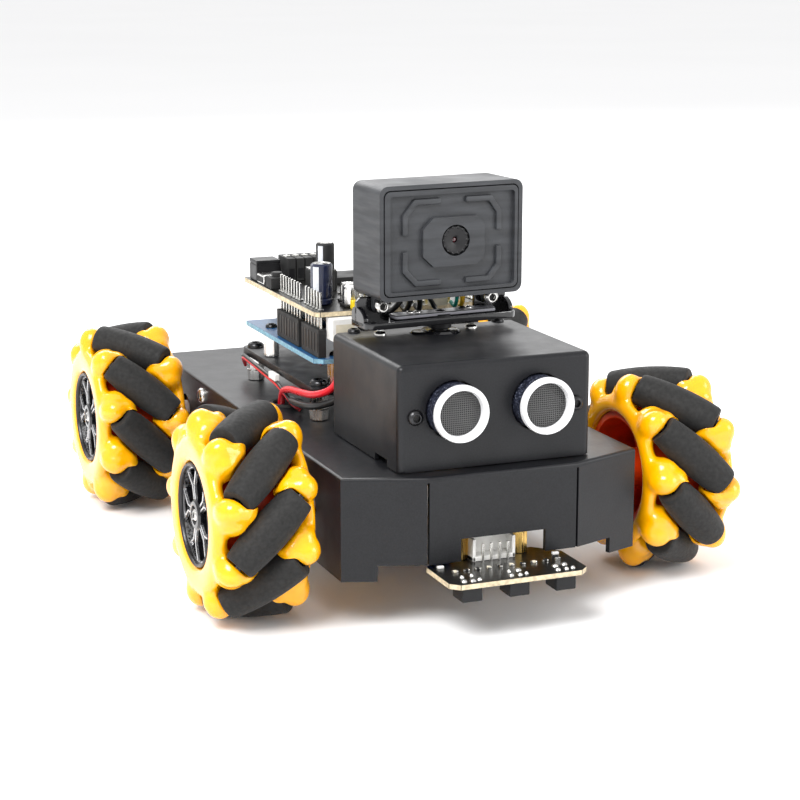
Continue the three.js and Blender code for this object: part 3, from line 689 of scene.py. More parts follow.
# ---- pan servo and the camera head ----
def servo():
    piece = Piece("micro_servo")
    low, high = SERVO_LOW, SERVO_HIGH
    body_low = Vector((-17, PAN.y - 6.1, low.z))
    body_high = Vector((6.9, PAN.y + 6.1, 71.8))
    piece.block(body_low, body_high, GLOSS_BLACK, 0.5)
    piece.block((low.x, body_low.y, 65.6), (high.x, body_high.y, 68.1), GLOSS_BLACK, 0.5)
    piece.turned([(0, 0), (5.9, 0), (5.9, 2.6), (5.4, 3.2), (2.6, 3.25), (2.6, 3.3), (0, 3.3)],
                 (PAN.x, PAN.y, high.z - 3.4), (0, 0, 1), GLOSS_BLACK, 40)
    piece.turned([(0, 0), (2.9, 0), (2.9, 2.6), (2.5, 3.1), (0, 3.1)],
                 (PAN.x - 6.2, PAN.y, high.z - 3.4), (0, 0, 1), GLOSS_BLACK, 28)
    for x in (low.x + 2.3, high.x - 2.3):
        piece.screw((x, PAN.y, 68.1), (0, 0, 1), 2.0, STEEL, dark=MATT_BLACK)
    for wire, look in enumerate((GOLD_WIRE, RED_WIRE, BLACK_WIRE)):
        x = -3 + wire * 1.2
        piece.tube([(x, body_high.y - 0.5, 51.5), (x, body_high.y + 1.8, 51.5), (x, -39.6, 49.5),
                    (x, -37.2, 46.8), (x, -33, 45.2)], 0.55, look, 8)
    piece.done("chassis", "dark_plastic", "pan_servo")

    piece = Piece("servo_screws")
    for x in (-17.4, 11.4):
        piece.screw((x, PAN.y + 1.4, HEAD_HIGH.z - 0.05), (0, 0, 1), 1.9, STEEL, dark=MATT_BLACK)
    piece.done("chassis", "powder_coat")

    horn = Piece("servo_arm")
    low, high = span("servo_horn")
    tall = high.z - low.z - 0.7
    horn.turned([(0, 0), (3.2, 0), (3.4, 0.2), (3.4, tall - 0.2), (3.2, tall), (0, tall)],
                (PAN.x, PAN.y, low.z), (0, 0, 1), SATIN_BLACK, 32)
    arm = rounded(PAN.x - 15.5, PAN.x + 17.5, PAN.y - 2.6, PAN.y + 2.6, 1.2, 5)
    horn.plate(arm, BRACKET_TOP + 0.05, high.z, ARM_GREY, 0.25)
    for x, y, look in ((-8.6, 0.8, STEEL), (-6.3, 0.4, STEEL), (10.6, 0.6, STEEL), (8.2, 0.2, DARK_STEEL)):
        horn.screw((x, PAN.y + y, high.z - 0.1), (0, 0, 1), 1.05, look, dark=MATT_BLACK)
    horn.screw((PAN.x, PAN.y, high.z - 0.1), (0, 0, 1), 1.5, DARK_STEEL, 0.5, dark=MATT_BLACK)
    horn.done("camera_head", "dark_plastic", "servo_horn")


def bracket():
    w, front, rear, sheet = BRACKET_X, BRACKET_FRONT, BRACKET_REAR, 1.5
    piece = Piece("camera_mount_bracket")
    corner = 3
    turns = np.radians((0, 22, 45, 68, 90)).tolist()
    outline = [(-w, rear)]
    outline += [(-w + corner * (1 - math.cos(a)), front + corner * (1 - math.sin(a))) for a in turns]
    outline += [(w - corner * (1 - math.cos(a)), front + corner * (1 - math.sin(a))) for a in turns[::-1]]
    outline += [(w, rear)]
    piece.plate(outline, BRACKET_BOTTOM, BRACKET_TOP, GLOSS_BLACK, 0.35)
    profile = [(rear, BRACKET_BOTTOM), (front + corner, BRACKET_BOTTOM), (front + corner + 0.2, BRACKET_TOP)]
    reach = rear - 2.5 - (front + corner)
    for angle in np.radians(np.arange(0, 91, 10)).tolist():
        profile.append((rear - 2.5 - reach * math.cos(angle),
                        BRACKET_TOP + (EAR_TOP - BRACKET_TOP) * math.sin(angle)))
    profile += [(rear - 0.8, EAR_TOP - 0.5), (rear, EAR_TOP - 1.8)]
    for side in (-1, 1):
        x = sorted((side * w, side * (w - sheet)))
        piece.plate(profile, x[0], x[1], GLOSS_BLACK, 0.25, "X")
        x = sorted((side * w, side * 14))
        top = CAMERA_BOTTOM - 0.3
        tab = [(x[0], BRACKET_BOTTOM), (x[1], BRACKET_BOTTOM), (x[1], top - 1.2), (x[1] - 1.2, top),
               (x[0] + 1.2, top), (x[0], top - 1.2)]
        piece.plate(tab, TAB_REAR - sheet, TAB_REAR, GLOSS_BLACK, 0.25, "Y")
        lug = Vector((side * LUG_X, TAB_REAR - 4, LUG_Z))
        piece.screw(lug - Vector((0, 0.2, 0)), (0, -1, 0), 2.3, STEEL, dark=MATT_BLACK)
        piece.rod(lug + Vector((0, 4, 0)), lug + Vector((0, 5.6, 0)), 2.3, STEEL, 6)
    piece.done("camera_head", "gloss_black", "camera_bracket")


# centre lines of the four raised marks on the camera's face, and the plateau round its lens
MARKS = (
    ((-3.5, 112.8), (-11.5, 112.8), (-14.8, 108.8), (-14.8, 103.4)),
    ((4.6, 112.8), (12.5, 112.8), (15.4, 108.8), (15.4, 103.4)),
    ((-14.8, 98.9), (-14.8, 93.2), (-11.2, 89.5), (-3.3, 89.5)),
    ((4.6, 89.5), (12.2, 89.5), (15.4, 93.2), (15.4, 98.9)),
)
PLATEAU = (
    (-9.3, 97.1), (-5.9, 94), (8, 94), (10.6, 96.8), (10.6, 105.4), (8, 108.1), (-6, 108.1), (-9.3, 104.9),
)


def camera():
    w, low, high, front, rear = CAMERA_X, CAMERA_BOTTOM, CAMERA_TOP, CAMERA_FRONT, CAMERA_REAR
    opening = (LENS.x, LENS.z)
    cover = Piece("camera_cover")
    cover.loop(rounded(-w + 1.6, w - 1.6, low + 1.6, high - 1.6, 1.8), rounded(-19.7, 20.4, 87.5, 114.8, 1.0),
               front, front + 1.9, PRINTED, 0.35)
    field = finer(rounded(-20.2, 20.9, 87.0, 115.3, 1.0), 1.2)
    cover.loop(field, hole(field, opening, 4.5), front + 1.3, front + 2.2, PRINTED, 0.05)
    plateau = finer(PLATEAU, 1.2)
    cover.loop(plateau, hole(plateau, opening, 4.5), front + 0.05, front + 1.5, PRINTED, 0.55)
    for mark in MARKS:
        cover.plate(stroke(mark, 1.7), front + 0.3, front + 1.6, PRINTED, 0.4, "Y")
    cover.done("camera_head", "camera_plastic", "camera_front")

    shell = Piece("camera_shell")
    wall = 1.25
    inside = rounded(-w + wall, w - wall, low + wall, high - wall, 2.0, 8)
    shell.loop(rounded(-w, w, low, high, 2.6, 8), inside, front + 0.15, rear, PRINTED, 0.4)
    shell.plate(rounded(-w + 1, w - 1, low + 1, high - 1, 2.0, 8), front + 2.1, rear - 0.2, PRINTED, 0.2, "Y")
    for side in (-1, 1):
        x = side * LUG_X
        angles = np.radians(range(180, 361, 15)).tolist()
        lug = [(x + 2.3 * math.cos(a), LUG_Z + 2.3 * math.sin(a)) for a in angles]
        lug += [(x + 2.3, low + 0.5), (x - 2.3, low + 0.5)]
        shell.plate(lug, TAB_REAR - 4, TAB_REAR - 1.8, PRINTED, 0.3, "Y")
    for row in range(5):
        z = 92 + row * 4.2
        shell.block((-13, rear - 0.35, z), (13, rear - 0.02, z + 1.6), MATT_BLACK, 0.1)
    shell.done("camera_head", "camera_plastic", "camera_housing")

    lens = Piece("camera_objective")
    at = Vector((LENS.x, front + 0.1, LENS.z))
    lens.ring([(4.15, 0.5), (3.85, 0.1), (3.6, 0), (1.5, 0.35), (0.8, 0.8), (0.8, 4), (4.15, 4)],
              at, (0, 1, 0), SATIN_BLACK, 56)
    lens.turned([(0, 0.9), (0.5, 1.0), (0.85, 1.3), (0.85, 1.8), (0, 1.8)], at, (0, 1, 0), LENS_GLASS, 24)
    for notch in range(14):
        angle = math.tau * notch / 14
        start = at + Vector((3.72 * math.cos(angle), -0.12, 3.72 * math.sin(angle)))
        lens.rod(start, start + Vector((0, 0.7, 0)), 0.46, SATIN_BLACK, 10)
    lens.done("camera_head", "gloss_black", "camera_lens")


servo()
bracket()
camera()


# ---- wheels ----
ROLLER_HALF = 12.5


def roller_places(wheel):
    """Each roller's middle and axis, from its joint."""
    places = []
    for number in range(1, 10):
        joint = joints[f"{wheel}_roller_{number}_spin"]
        middle = Vector(joint["pos_m"]) / MM - Vector((0, AXLE_MID_Y, 0))
        places.append((middle, Vector(joint["axis"]).normalized()))
    return places


def roller_radius(along):
    """A little fuller towards its ends than the true rolling curve."""
    return 5.5 - 1.05 * (abs(along) / ROLLER_HALF) ** 2


def make_rollers(wheel):
    for number, (middle, axis) in enumerate(roller_places(wheel), 1):
        piece = Piece(f"barrel_{wheel}_{number}")
        half, bore = ROLLER_HALF, 1.75
        profile = [(bore, -half + 0.15), (bore + 0.15, -half)]
        ends = roller_radius(half)
        profile += [(ends - 0.75, -half), (ends - 0.3, -half + 0.08), (ends - 0.05, -half + 0.4)]
        profile += [(roller_radius(s), s) for s in np.linspace(-half + 1.0, half - 1.0, 11).tolist()]
        profile += [(ends - 0.05, half - 0.4), (ends - 0.3, half - 0.08), (ends - 0.75, half)]
        profile += [(bore + 0.15, half), (bore, half - 0.15)]
        piece.ring(profile, middle, axis, RUBBER, 40)
        piece.done(f"{wheel}_roller_{number}", "roller_rubber", f"roller_{wheel}_{number}")


def ellipsoid(part, centre, axes, sizes):
    """Adds an ellipsoid whose axes and half lengths are given."""
    made = bmesh.ops.create_icosphere(part, subdivisions=3, radius=1)
    turn = Matrix([[axes[c][r] * sizes[c] for c in range(3)] for r in range(3)]).to_4x4()
    bmesh.ops.transform(part, matrix=Matrix.Translation(centre) @ turn, verts=made["verts"])


def revolve(part, profile, centre, sides=64):
    """Adds a closed ring about the wheel's axle; profile points are (radius, x)."""
    rings = [[
        part.verts.new(centre + Vector((
            x, r * math.cos(math.tau * k / sides), r * math.sin(math.tau * k / sides),
        ))) for k in range(sides)
    ] for r, x in profile]
    for lower, upper in zip(rings, [*rings[1:], rings[0]]):
        for k in range(sides):
            part.faces.new((lower[k], lower[(k + 1) % sides], upper[(k + 1) % sides], upper[k]))


def flange_lump(part, centre, outward, places, opening):
    """One side plate of a wheel: a ring and a petal over the end of each roller."""
    revolve(part, [
        (opening, outward * 10.4), (opening, outward * 13.6), (opening + 1.2, outward * 14.6),
        (20.5, outward * 14.7), (22.6, outward * 13.8), (23, outward * 12.2), (21, outward * 10.4),
    ], centre)
    spin = Vector((1, 0, 0))
    for middle, axis in places:
        tip = middle + axis * outward * 16.2
        radial = tip - centre
        radial.x = 0
        angle_away = (tip - middle).normalized()
        radial.normalize()
        away = (angle_away - radial * angle_away.dot(radial) - spin * angle_away.dot(spin)).normalized()
        at = centre + spin * outward * 10.2 + radial * 23.9
        offset = (tip - centre).dot(away)
        ellipsoid(part, at + away * offset, (spin, radial, away), (4.7, 5.8, 4.4))
        ellipsoid(part, at - spin * outward * 2.6 - radial * 0.6 + away * (offset + 0.4),
                  (spin, radial, away), (5.2, 5.2, 4.2))
        ellipsoid(part, at - spin * outward * 0.8 - radial * 1.4 + away * (offset + 3.9),
                  (spin, radial, away), (4.3, 4.4, 2.9))


def clear_of_rollers(points, places, clearance):
    """Moves points that lie inside a roller's running space out to its surface."""
    for middle, axis in places:
        m, a = np.array(middle), np.array(axis)
        offset = points - m
        along = offset @ a
        square = offset - np.outer(along, a)
        distance = np.linalg.norm(square, axis=1)
        reach = 5.5 - 1.05 * np.clip(np.abs(along) / ROLLER_HALF, 0, 1) ** 2 + clearance
        half = ROLLER_HALF + clearance
        inside = (distance < reach) & (np.abs(along) < half)
        out_round = reach - distance
        out_end = half - np.abs(along)
        by_end = inside & (out_end < out_round)
        by_side = inside & ~by_end
        points[by_end] += np.outer(np.sign(along[by_end]) * out_end[by_end], a)
        scale = out_round[by_side] / np.maximum(distance[by_side], 1e-6)
        points[by_side] += square[by_side] * scale[:, None]
    return points


def relax(points, edges, rounds):
    """Smooths a mesh by moving each vertex halfway to the mean of its neighbours."""
    a, b = edges[:, 0], edges[:, 1]
    count = np.bincount(np.concatenate([a, b]), minlength=len(points))[:, None]
    for _ in range(rounds):
        total = np.zeros_like(points)
        np.add.at(total, a, points[b])
        np.add.at(total, b, points[a])
        points = points * 0.5 + total / np.maximum(count, 1) * 0.5
    return points


def remeshed(part, voxel):
    """One skin round overlapping solids, as a mesh in the script's units."""
    data = bpy.data.meshes.new("lump")
    part.to_mesh(data)
    part.free()
    lump = bpy.data.objects.new("lump", data)
    bpy.context.scene.collection.objects.link(lump)
    remesh = lump.modifiers.new("skin", "REMESH")
    remesh.mode, remesh.voxel_size = "VOXEL", voxel
    bpy.context.view_layer.update()
    skin = bpy.data.meshes.new_from_object(lump.evaluated_get(bpy.context.evaluated_depsgraph_get()))
    bpy.data.objects.remove(lump)
    bpy.data.meshes.remove(data)
    return skin


def wheel_rim(wheel, centre, side, places):
    part = bmesh.new()
    flange_lump(part, centre, side, places, 14.7)
    flange_lump(part, centre, -side, places, 17.6)
    skin = remeshed(part, 0.55)
    points = np.zeros(len(skin.vertices) * 3)
    skin.vertices.foreach_get("co", points)
    edges = np.zeros(len(skin.edges) * 2, int)
    skin.edges.foreach_get("vertices", edges)
    points, edges = points.reshape(-1, 3), edges.reshape(-1, 2)
    points = relax(points, edges, 6)
    for _ in range(3):
        points = clear_of_rollers(points, places, 0.55)
        points = relax(points, edges, 2)
    points = clear_of_rollers(points, places, 0.35)
    face = np.array(centre)
    limit = 14.9
    points[:, 0] = np.clip(points[:, 0], face[0] - limit, face[0] + limit)
    radial = points[:, 1:] - face[1:]
    reach = np.linalg.norm(radial, axis=1)
    shrink = np.where(reach > 29.7, 29.7 / reach, 1.0)
    points[:, 1:] = face[1:] + radial * shrink[:, None]
    skin.vertices.foreach_set("co", points.ravel())
    piece = Piece(f"rim_{wheel}")
    rim = bmesh.new()
    rim.from_mesh(skin)
    bpy.data.meshes.remove(skin)
    piece.take(rim, YELLOW)
    piece.done(f"{wheel}_wheel", "wheel_yellow", f"wheel_{wheel}", sharp=60)


def wheel_inside(wheel, centre, side, places):
    """The core between the flanges, the roller pins, and the boss on the motor's shaft; the core, its spokes
    and the boss are coloured deep red as painted shade of the yellow plastic.
    """
    piece = Piece(f"core_{wheel}")
    piece.ring([(15.6, -12.4), (17.5, -12.4), (17.5, 12.4), (15.6, 12.4)], centre, (1, 0, 0), CORE_SHADE_RED, 64)
    for middle, axis in places:
        piece.rod(middle - axis * 15, middle + axis * 15, 1.1, DARK_STEEL, 12)
    piece.turned([(0, -1), (3.4, -1), (5.6, 0.5), (6, 1.5), (6, 13), (5.5, 13.5), (2.9, 13.6), (0, 13.6)],
                 centre, (-side, 0, 0), CORE_SHADE_RED, 36)
    for spoke in range(6):
        angle = math.tau * spoke / 6
        turn = (
            Matrix.Translation(centre) @ Matrix.Rotation(angle, 4, "X") @ Matrix.Translation(-Vector(centre))
        )
        low = centre + Vector((-side * 1 - 3.5, 5, -0.9))
        high = centre + Vector((-side * 1 + 3.5, 16, 0.9))
        piece.block(low, high, CORE_SHADE_RED, 0.3, turn)
    piece.rod(centre - Vector((side * 13, 0, 0)), centre - Vector((side * 21, 0, 0)), 2.7, WHITE, 24)
    piece.done(f"{wheel}_wheel", "wheel_yellow")


def hub_insert(wheel, centre, side):
    """The recessed black insert with five split, silver-faced spokes."""
    piece = Piece(f"hub_{wheel}")
    outward = Vector((side, 0, 0))
    piece.turned([(0, 9), (14.6, 9), (14.6, 10.2), (0, 10.2)], centre, outward, MATT_BLACK, 64)
    piece.ring([(13.4, 10), (14.66, 10), (14.66, 13.8), (14.3, 14.2), (13.7, 13.9), (13.4, 13.2)],
               centre, outward, DARK_STEEL, 72)
    piece.ring([(12.9, 10), (13.4, 10), (13.4, 13), (13.0, 13)], centre, outward, HUB_SILVER, 72)
    piece.turned([(0, 10), (4.4, 10), (4.4, 13.1), (3.8, 13.7), (2.7, 13.8), (2.4, 12.8), (0, 12.8)],
                 centre, outward, GLOSS_BLACK, 48)
    piece.screw(centre + outward * 12.8, outward, 1.8, STEEL, dark=MATT_BLACK)
    reference = Vector((0, 1, 0))
    for spoke in range(5):
        middle = math.radians(spoke * 72)
        for half in (-1, 1):
            inner, split = middle + half * 0.16, middle + half * 0.1
            outer = middle + half * 0.33
            for start, end in (((4.2, inner), (8.4, split)), ((8.4, split), (13.3, outer))):
                bar_between(piece, centre, outward, reference, start, end, 1.5, 10, 12.6, GLOSS_BLACK)
                bar_between(piece, centre, outward, reference, start, end, 0.55, 12.5, 13.1, HUB_SILVER)
    piece.done(f"{wheel}_wheel", "wheel_yellow")


def bar_between(piece, centre, outward, reference, start, end, width, low, high, look):
    """A bar in the wheel's face between two places given as (radius, angle)."""
    third = outward.cross(reference)
    a, b = (centre + r * (reference * math.cos(t) + third * math.sin(t)) for r, t in (start, end))
    run = b - a
    across = outward.cross(run).normalized() * width / 2
    part = bmesh.new()
    corners = [a - across, a + across, b + across, b - across]
    lower = [part.verts.new(c + outward * low) for c in corners]
    upper = [part.verts.new(c + outward * high) for c in corners]
    part.faces.new(lower[::-1])
    part.faces.new(upper)
    for k in range(4):
        part.faces.new((lower[k], lower[(k + 1) % 4], upper[(k + 1) % 4], upper[k]))
    bmesh.ops.bevel(part, geom=part.edges[:], offset=0.12, segments=1, affect="EDGES")
    piece.take(part, look)


def make_wheel(wheel):
    centre = Vector(joints[f"{wheel}_wheel_spin"]["pos_m"]) / MM - Vector((0, AXLE_MID_Y, 0))
    side = 1 if centre.x > 0 else -1
    places = roller_places(wheel)
    wheel_rim(wheel, centre, side, places)
    wheel_inside(wheel, centre, side, places)
    hub_insert(wheel, centre, side)
    make_rollers(wheel)


for wheel_name in WHEELS:
    make_wheel(wheel_name)


# ---- mounting plate and its standoffs ----
def mounting():
    plate = Piece("board_carrier")
    w, front, rear = PLATE_HIGH.x, PLATE_LOW.y, PLATE_HIGH.y
    top, bottom = PLATE_HIGH.z, PLATE_HIGH.z - 2.4
    plate.plate(rounded(-w, w, front, rear, 2.6, 6), bottom, top, SATIN_BLACK, 0.3)
    for x in (-STANDOFF_X, STANDOFF_X):
        for y in (STANDOFF_FRONT, STANDOFF_REAR):
            plate.rod((x, y, DECK_TOP + 0.1), (x, y, bottom), 2.85, STEEL, 6, 0.2)
            plate.rod((x, y, DECK_TOP + 3.4), (x, y, DECK_TOP + 3.8), 2.95, STEEL, 24, 0.1)
            plate.screw((x, y, top - 0.05), (0, 0, 1), 2.7, DARK_STEEL, dark=MATT_BLACK)
    plate.done("chassis", "plate_plastic", "mounting_plate")


# ---- controller board ----
def pin_row(piece, x, y_start, count, pitch, low, high, look, width=0.62):
    for pin in range(count):
        y = y_start + pin * pitch
        piece.block((x - width / 2, y - width / 2, low), (x + width / 2, y + width / 2, high), look, 0.12)


def solder_row(piece, x, y_start, count, pitch, z, look):
    for pin in range(count):
        piece.turned([(0, 0), (0.85, 0), (0.62, 0.45), (0.25, 0.8), (0, 0.85)],
                     (x, y_start + pin * pitch, z), (0, 0, -1), look, 12)


def controller():
    board = Piece("controller_circuit")
    outline = [(BOARD_LEFT, BOARD_REAR), (BOARD_LEFT, BOARD_FRONT + 2.5), (BOARD_LEFT + 2.5, BOARD_FRONT),
               (BOARD_RIGHT, BOARD_FRONT), (BOARD_RIGHT, BOARD_REAR)]
    # the board's rim takes the light blue of the painted edge highlight
    board.plate(outline, LOWER_BOARD, LOWER_TOP, BLUE_MASK, 0.12, rim=BLUE_EDGE_HIGHLIGHT)
    posts = ((BOARD_LEFT + 4, BOARD_REAR - 14), (BOARD_RIGHT - 4, BOARD_REAR - 14),
             (BOARD_LEFT + 8, BOARD_FRONT + 5), (BOARD_RIGHT - 8, BOARD_FRONT + 5))
    for x, y in posts:
        board.rod((x, y, PLATE_HIGH.z + 0.1), (x, y, LOWER_BOARD), 2.5, STEEL, 6, 0.2)
        board.screw((x, y, LOWER_TOP - 0.05), (0, 0, 1), 1.9, DARK_STEEL, dark=MATT_BLACK)
    for x in (BOARD_LEFT + 2.5, BOARD_RIGHT - 2.5):
        for start, count in ((BOARD_FRONT + 2.2, 6), (BOARD_FRONT + 18.5, 8), (BOARD_FRONT + 40, 5)):
            solder_row(board, x, start, count, 2.54, LOWER_BOARD, SOLDER)
    board.done("chassis", "blue_board", "controller_board")

    ports = Piece("controller_ports")
    usb_x, rear = BOARD_LEFT + 10, BOARD_REAR + 6
    ports.block((usb_x, rear - 16, LOWER_TOP), (usb_x + 12, rear, LOWER_TOP + 10.8), STEEL, 0.5)
    ports.block((usb_x + 1.6, rear - 3, LOWER_TOP + 1.8), (usb_x + 10.4, rear + 0.02, LOWER_TOP + 9),
                MATT_BLACK, 0.3)
    ports.block((usb_x + 3.4, rear - 3, LOWER_TOP + 4), (usb_x + 8.6, rear + 0.05, LOWER_TOP + 6.8),
                WHITE, 0.2)
    jack = BOARD_RIGHT - 8
    ports.block((jack - 4.5, BOARD_REAR - 12, LOWER_TOP), (jack + 4.5, BOARD_REAR + 1.5, LOWER_TOP + 10.6),
                MATT_BLACK, 0.4)
    ports.ring([(3.0, 0), (3.9, 0), (3.9, -1), (3.0, -1)], (jack, BOARD_REAR + 1.6, LOWER_TOP + 6), (0, 1, 0),
               SATIN_BLACK, 32)
    ports.rod((jack, BOARD_REAR - 4, LOWER_TOP + 6), (jack, BOARD_REAR + 1.3, LOWER_TOP + 6), 1.0, TIN, 16)
    ports.block((-5, -8, LOWER_TOP), (3, 16, LOWER_TOP + 3.4), MATT_BLACK, 0.3)
    for pin in range(8):
        for x in (-5.8, 3.0):
            ports.block((x, -6.8 + pin * 2.9, LOWER_TOP), (x + 0.9, -6.0 + pin * 2.9, LOWER_TOP + 1.6),
                        TIN, 0.1)
    ports.block((-16, 18, LOWER_TOP), (-5, 22.6, LOWER_TOP + 3.6), STEEL, 1.2)
    for x, y in ((12, 4), (12, 13)):
        ports.rod((x, y, LOWER_TOP), (x, y, LOWER_TOP + 6), 3.1, STEEL, 28, 0.4)
        ports.rod((x, y, LOWER_TOP), (x, y, LOWER_TOP + 1.2), 3.5, MATT_BLACK, 8, 0.2)
    small_parts(ports, (-20, 16), (-26, -10), LOWER_TOP, 26, 7)
    ports.done("chassis", "blue_board")


def small_parts(piece, across, lengthways, z, count, seed):
    """Surface-mounted parts in rows: chips, resistors and capacitors with tinned ends."""
    dice = np.random.default_rng(seed)
    columns = max(2, round((across[1] - across[0]) / 3.4))
    for item in range(count):
        x = across[0] + (item % columns + 0.5) * (across[1] - across[0]) / columns
        y = lengthways[0] + (item // columns + 0.5) * 3.1
        if y > lengthways[1]:
            break
        long_way = dice.random() < 0.5
        length, width, tall = (1.7, 0.95, 0.55) if dice.random() < 0.7 else (2.4, 1.6, 1.1)
        dx, dy = (length, width) if long_way else (width, length)
        look = (MATT_BLACK, CREAM, MATT_BLACK)[int(dice.random() * 3)]
        piece.block((x - dx / 2, y - dy / 2, z), (x + dx / 2, y + dy / 2, z + tall), TIN, 0.08)
        shrink_x, shrink_y = (0.35, -0.02) if long_way else (-0.02, 0.35)
        piece.block((x - dx / 2 + shrink_x, y - dy / 2 + shrink_y, z),
                    (x + dx / 2 - shrink_x, y + dy / 2 - shrink_y, z + tall + 0.03), look, 0.08)


# ---- expansion board ----
def header_block(piece, x, start, count, low, high, pitch=2.54):
    """A black socket strip with a slot over each contact."""
    piece.block((x - 1.25, start - pitch / 2, low), (x + 1.25, start + (count - 0.5) * pitch, high),
                MATT_BLACK, 0.15)
    for pin in range(count):
        y = start + pin * pitch
        for side in (-1, 1):
            slot = x + side * 1.28
            piece.block((slot - 0.1, y - 0.42, low + 1.6), (slot + 0.04, y + 0.42, high - 1.3),
                        SATIN_BLACK, 0.03)


